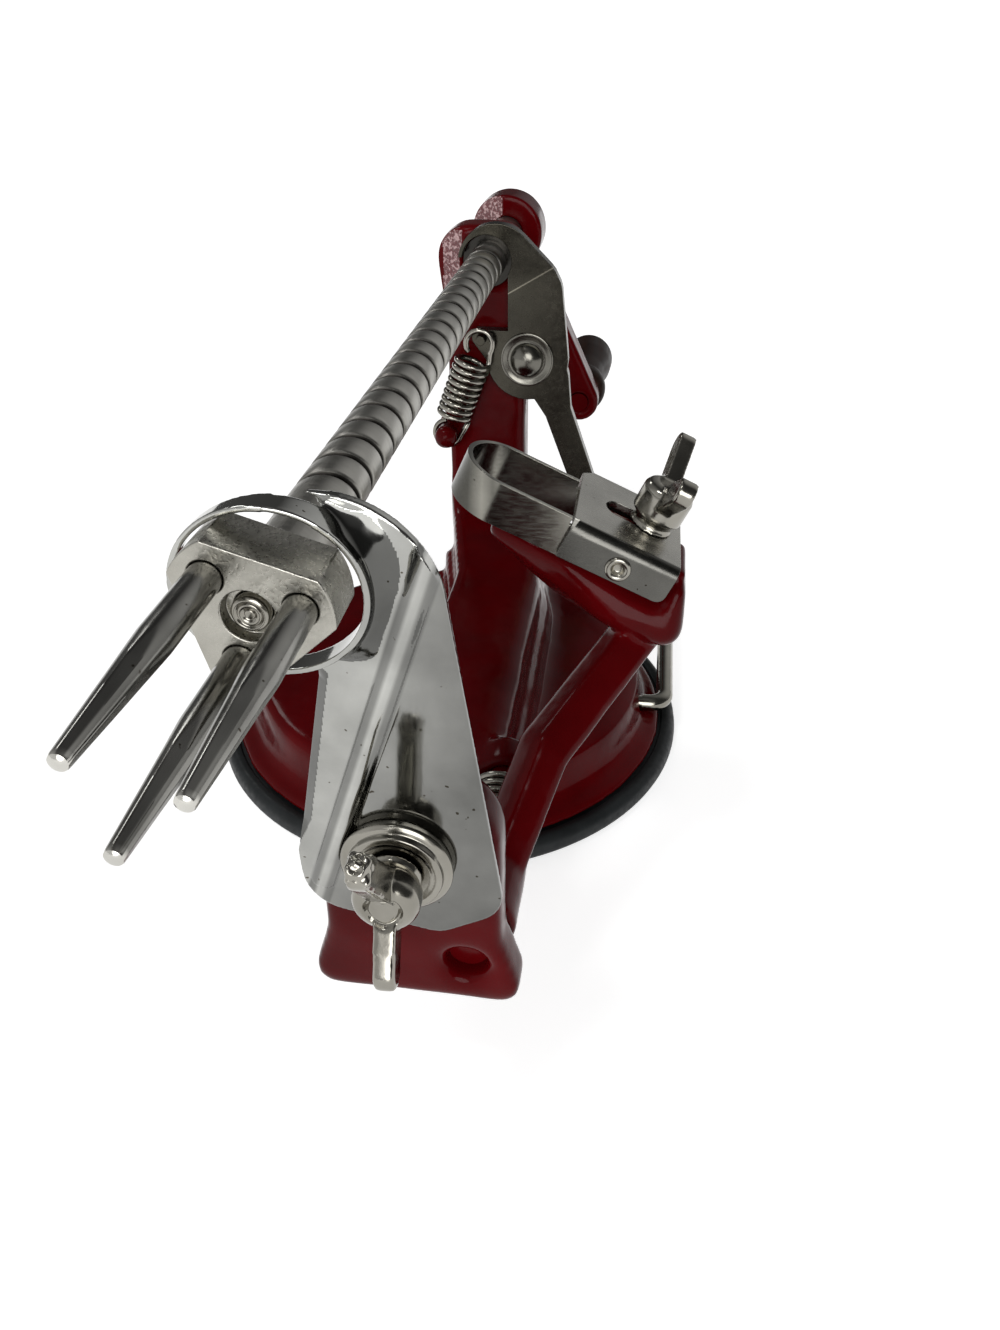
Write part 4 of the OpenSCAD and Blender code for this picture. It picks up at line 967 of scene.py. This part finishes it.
# %% [markdown]
# ## Springs
# Both springs are one wire each. The route is a list of points: a loop, the coil and
# another loop, and a smooth curve with a round bevel follows it. On the peeler, one end of
# each spring stays with the casting and the other goes with the piece that it pulls.

# %% Springs
PEG, PEG_R = Vector((-9.4, 49.0)), 2.2
EAR, EAR_R = Vector((-1.0, 71.8)), 1.1
SPRING_WIRE, COIL_R, CURLS, LOOSE = 1.3, 3.9, 9, 0.3
PER_TURN, LOOP_STEP, COIL_GAP = 16, 15, 1
SPRING_Y = LATCH_FRONT - LOOSE - SPRING_WIRE
span = (EAR - PEG).length
lift = (EAR - PEG) / span
aside = Vector((lift.y, -lift.x))
loop_r = PEG_R + LOOSE + SPRING_WIRE / 2
top_mid = span + EAR_R + LOOSE + SPRING_WIRE / 2 - loop_r
coil_from, coil_to = loop_r + COIL_GAP, top_mid - loop_r - COIL_GAP


def wire_loop(mid, first, last):
    """An end loop round a point up the spring, from one angle to another in degrees."""
    return [(loop_r * cos(radians(a)), 0, mid + loop_r * sin(radians(a)))
            for a in range(first, last, LOOP_STEP)]


route = wire_loop(0, 115, 381)
for i in range(PER_TURN * CURLS + 1):
    a = 2 * pi * i / PER_TURN
    up = coil_from + (coil_to - coil_from) * i / (PER_TURN * CURLS)
    route.append((COIL_R * cos(a), COIL_R * sin(a), up))
route += wire_loop(top_mid, -20, 246)
path = [(PEG.x + q[0] * aside.x + q[2] * lift.x, SPRING_Y + q[1],
         PEG.y + q[0] * aside.y + q[2] * lift.y) for q in route]
latch_coil = wire("latch_coil", path, SPRING_WIRE, bright_nickel, ["latch_spring"])
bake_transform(latch_coil)

PIVOT_X, PIVOT_Z, ARM_WIRE, ARM_COIL_R, ARM_CURLS = 18.7, 26.5, 1.4, 5.2, 4
END_TURN, LEAD_WIRES = 0.125, 1.6
coil_y0, coil_y1 = -67.4, -55.3
lead = LEAD_WIRES * ARM_WIRE
path = [(PIVOT_X - ARM_COIL_R, coil_y0, PIVOT_Z),
        (PIVOT_X - ARM_COIL_R, coil_y0 + ARM_WIRE, PIVOT_Z)]
turns = ARM_CURLS + END_TURN
coil_steps = PER_TURN * ARM_CURLS + 2
for i in range(coil_steps + 1):
    t = i / coil_steps
    a = pi + 2 * pi * turns * t
    path.append((PIVOT_X + ARM_COIL_R * cos(a), coil_y0 + lead + (coil_y1 - coil_y0 - 2 * lead) * t,
                 PIVOT_Z + ARM_COIL_R * sin(a)))
path += [(path[-1][0], coil_y1 - ARM_WIRE, path[-1][2]), (path[-1][0], coil_y1, path[-1][2])]
arm_coil = wire("arm_coil", path, ARM_WIRE, bright_nickel, ["arm_spring"])
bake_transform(arm_coil)

# %% [markdown]
# ## Suction cup
# A rubber disc under the drum with a thick round lip that stands outside the flange. A
# squashed cylinder would have no lip, so it is turned from its profile, with soft corners.

# %% Suction cup
CUP_R, FLANGE_R = 51.0, 47.5
BASE_MIDDLE = (-1, -1.2, 0)
cup = rounded([(0, 1.6), (15, 1.6), (36, 0.6), (40, 0.0), (CUP_R - 1, 0.0), (CUP_R, 1.2),
               (CUP_R - 0.4, 3.4), (CUP_R - 1.6, 4.4), (FLANGE_R + 0.3, 4.1),
               (FLANGE_R + 0.3, 3.5), (38, 3.5), (33, 2.8), (16, 3.6), (0, 3.6)],
              radius=0.7)
bm = turned(cup, BASE_MIDDLE, (0, 0, 1), steps=128)
place_piece("rubber_cup", bm, "frame_body", rubber, ["suction_cup"], crease=70)

# %% [markdown]
# ## Slicer washer and wing screws
# The washer is pressed into a step, so it is turned. The wing screws are small plated
# castings: a fine reskin of the CAD copy melts the wings into the barrel. The slicer's
# wings are relaxed further, because they are worn round, its barrel has a ring turned into
# its end, and the tip of its upper wing is chipped.

# %% Washer and wing screws
SLICER_X, SLICER_Z, WASHER_Y = 10.8, 47.5, -95.8
washer = rounded([(3.1, 0.95), (6.9, 0.95), (7.1, 0), (7.3, -0.1), (7.3, -0.55), (6.75, -0.9),
                  (6.25, -0.95), (6.1, -1.75), (5.2, -1.75), (4.6, -1.45), (3.1, -1.45),
                  (3.1, 0.95)], radius=0.2, steps=3)
bm = turned(washer, (SLICER_X, WASHER_Y, SLICER_Z), BACK)
place_piece("stepped_washer", bm, "frame_body", bright_nickel, ["slicer_washer"],
            crease=60)


def wing_screw(node):
    """A fine skin round a wing screw whose edges are rounded first."""
    return reskin(stamped_copy(node, width=1.25, limit=60, segments=4), voxel=0.2, rounds=8)


WASHER_TALL, SCREW_GAP, BARREL_LEN = 1.8, 0.1, 5.9
BARREL_END = WASHER_Y - WASHER_TALL - SCREW_GAP - BARREL_LEN
WING_FROM, CHIP_FROM = 5.0, 10.6
MARK_DEEP, MARK_R, MARK_W, END_DEPTH, END_R = 0.55, 2.1, 0.28, 0.9, 3.3
bm = wing_screw("slicer_wing_screw")
relax(bm, rounds=24,
      only=lambda spot: Vector((spot.x - SLICER_X, spot.z - SLICER_Z)).length > WING_FROM)
for v in bm.verts:
    spot = v.co / MM - Vector((SLICER_X, BARREL_END, SLICER_Z))
    off_axis = (spot.x ** 2 + spot.z ** 2) ** 0.5
    if spot.y < END_DEPTH and off_axis < END_R:
        v.co.y += MARK_DEEP * exp(-((off_axis - MARK_R) / MARK_W) ** 2) * MM
roughen(bm, size=0.9, depth=0.4, only=lambda spot: spot.z > SLICER_Z + CHIP_FROM)
place_piece("slicer_wings", bm, "slicer_screw", bright_nickel, ["slicer_wing_screw"],
            crease=70)
bm = wing_screw("bracket_wing_screw")
place_piece("bracket_wings", bm, "bracket_screw", bright_nickel, ["bracket_wing_screw"],
            crease=70)

# %% [markdown]
# ## Blade bracket and blade
# The bracket is folded from one plate and the blade is a strip bent into a U. Both keep
# flat faces, so only their edges are rolled. The bracket's fold gets a wider round, and so
# do the outer corners of its flange. The eyelets are turned.

# %% Bracket, blade and rivets
HEAD_CORNER, HEAD_TILT = Vector((28, -45, 71.8)), 24
head_turn = Matrix.Rotation(radians(HEAD_TILT), 3, "Y")
bm = flat_copy("blade_bracket")


def head_spot(v):
    """A point in the peeling head's own frame, in millimetres."""
    return head_turn.transposed() @ (v.co / MM - HEAD_CORNER)


ON_LINE = 0.02
fold = [e for e in bm.edges
        if all(abs(head_spot(v).y) < ON_LINE and abs(head_spot(v).z) < ON_LINE for v in e.verts)]
round_edges(bm, fold, width=1.8, segments=8)
BRACKET_LEN, FLANGE_DROP, SHEET_LEAST = 18.5, 6.5, 0.5
corner = [e for e in bm.edges if abs(e.verts[0].co.y - e.verts[1].co.y) > SHEET_LEAST * MM
          and all(head_spot(v).x > BRACKET_LEN - NEAR and head_spot(v).z < NEAR - FLANGE_DROP
                  for v in e.verts)]
print("flange corners to round:", len(corner))
round_edges(bm, corner, width=1.5, segments=5)
roll_edges(bm, width=0.22, limit=50)
even_light(place_piece("folded_bracket", bm, "arm", bracket_painted_shade_sheet, ["blade_bracket"],
                       crease=60))
bm = stamped_copy("peeling_blade", width=0.15)
even_light(place_piece("bent_blade", bm, "arm", blade_painted_light_sheet, ["peeling_blade"], crease=60))

RIVET_X, RIVET_Z, BRACKET_DEPTH = 9.6, -4.0, 17.0
eyelet = rounded([(0, 0.45), (0.7, 0.4), (1.15, -0.35), (1.6, -0.55), (2.0, -0.35), (2.15, 0.0),
                  (1.15, 0.05), (1.15, 2.3), (0, 2.3)], radius=0.2, steps=3)
eyelets = bmesh.new()
for y, way in ((0, 1), (BRACKET_DEPTH, -1)):
    spot = HEAD_CORNER + head_turn @ Vector((RIVET_X, y, RIVET_Z))
    add_to(eyelets, turned(eyelet, spot, (0, way, 0), steps=40))
place_piece("eyelets", eyelets, "arm", bright_nickel, ["blade_rivets"], crease=60)

# %% [markdown]
# ## The grip
# A turned handle with a collar, a waist and a round end. One spun profile, up the outside
# and down the bore, gives a closed tube for the spindle.

# %% Grip
CRANK_R, CRANK_TURN, CRANK_Y, CRANK_THICK, GRIP_GAP = 47, 25, 82.5, 8, 0.3
BORE_R, GRIP_LEN = 2.56, 38
GRIP = Vector((CRANK_R * sin(radians(CRANK_TURN)), CRANK_Y + CRANK_THICK + GRIP_GAP,
               AXIS_H - CRANK_R * cos(radians(CRANK_TURN))))
grip = [(BORE_R, 0), (5.6, 0), (6.6, 2), (6.6, 5), (5.4, 9), (5.8, 16), (6.9, 24)]
grip += [(1.2 + 6 * cos(radians(a)), 30 + 6 * sin(radians(a))) for a in (5, 19, 33, 47, 61, 75)]
grip += [(BORE_R, GRIP_LEN), (BORE_R, 0)]
bm = turned(rounded(grip, radius=1.2), GRIP, BACK)
place_piece("turned_grip", bm, "grip", grip_wood, ["handle_grip"], crease=60)

# %% [markdown]
# ## Pieces that the CAD already gets right
# Turned pins, the bush, the lever rod and the nut keep their CAD shape and get a finish.
# The spindle's end in the crank is painted over with it, and only the rest is bright.

# %% Finishes for the other CAD pieces
plain = {
    "suction_stem": latch_painted_highlight_sheet, "suction_lever": bright_nickel, "suction_cam": latch_painted_highlight_sheet,
    "shaft_bush": bush_bronze, "crank_nut": bright_nickel, "handle_spindle": bright_nickel,
    "arm_pivot_pin": enamel,
}
for node, paint in plain.items():
    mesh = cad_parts[node].data
    mesh.materials.clear()
    mesh.materials.append(paint)
PAINTED_TO = GRIP.y - 0.2
repaint(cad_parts["handle_spindle"], enamel, lambda spot, normal: spot.y < PAINTED_TO)
print("CAD pieces with a finish:", sorted(plain))

# %% Sizes and finish
new_low, new_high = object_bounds()
for label, low, high in (("solids", cad_low, cad_high), ("dressed", new_low, new_high)):
    print(label, "box in mm:", [round(x / MM, 1) for x in (*low, *high)])
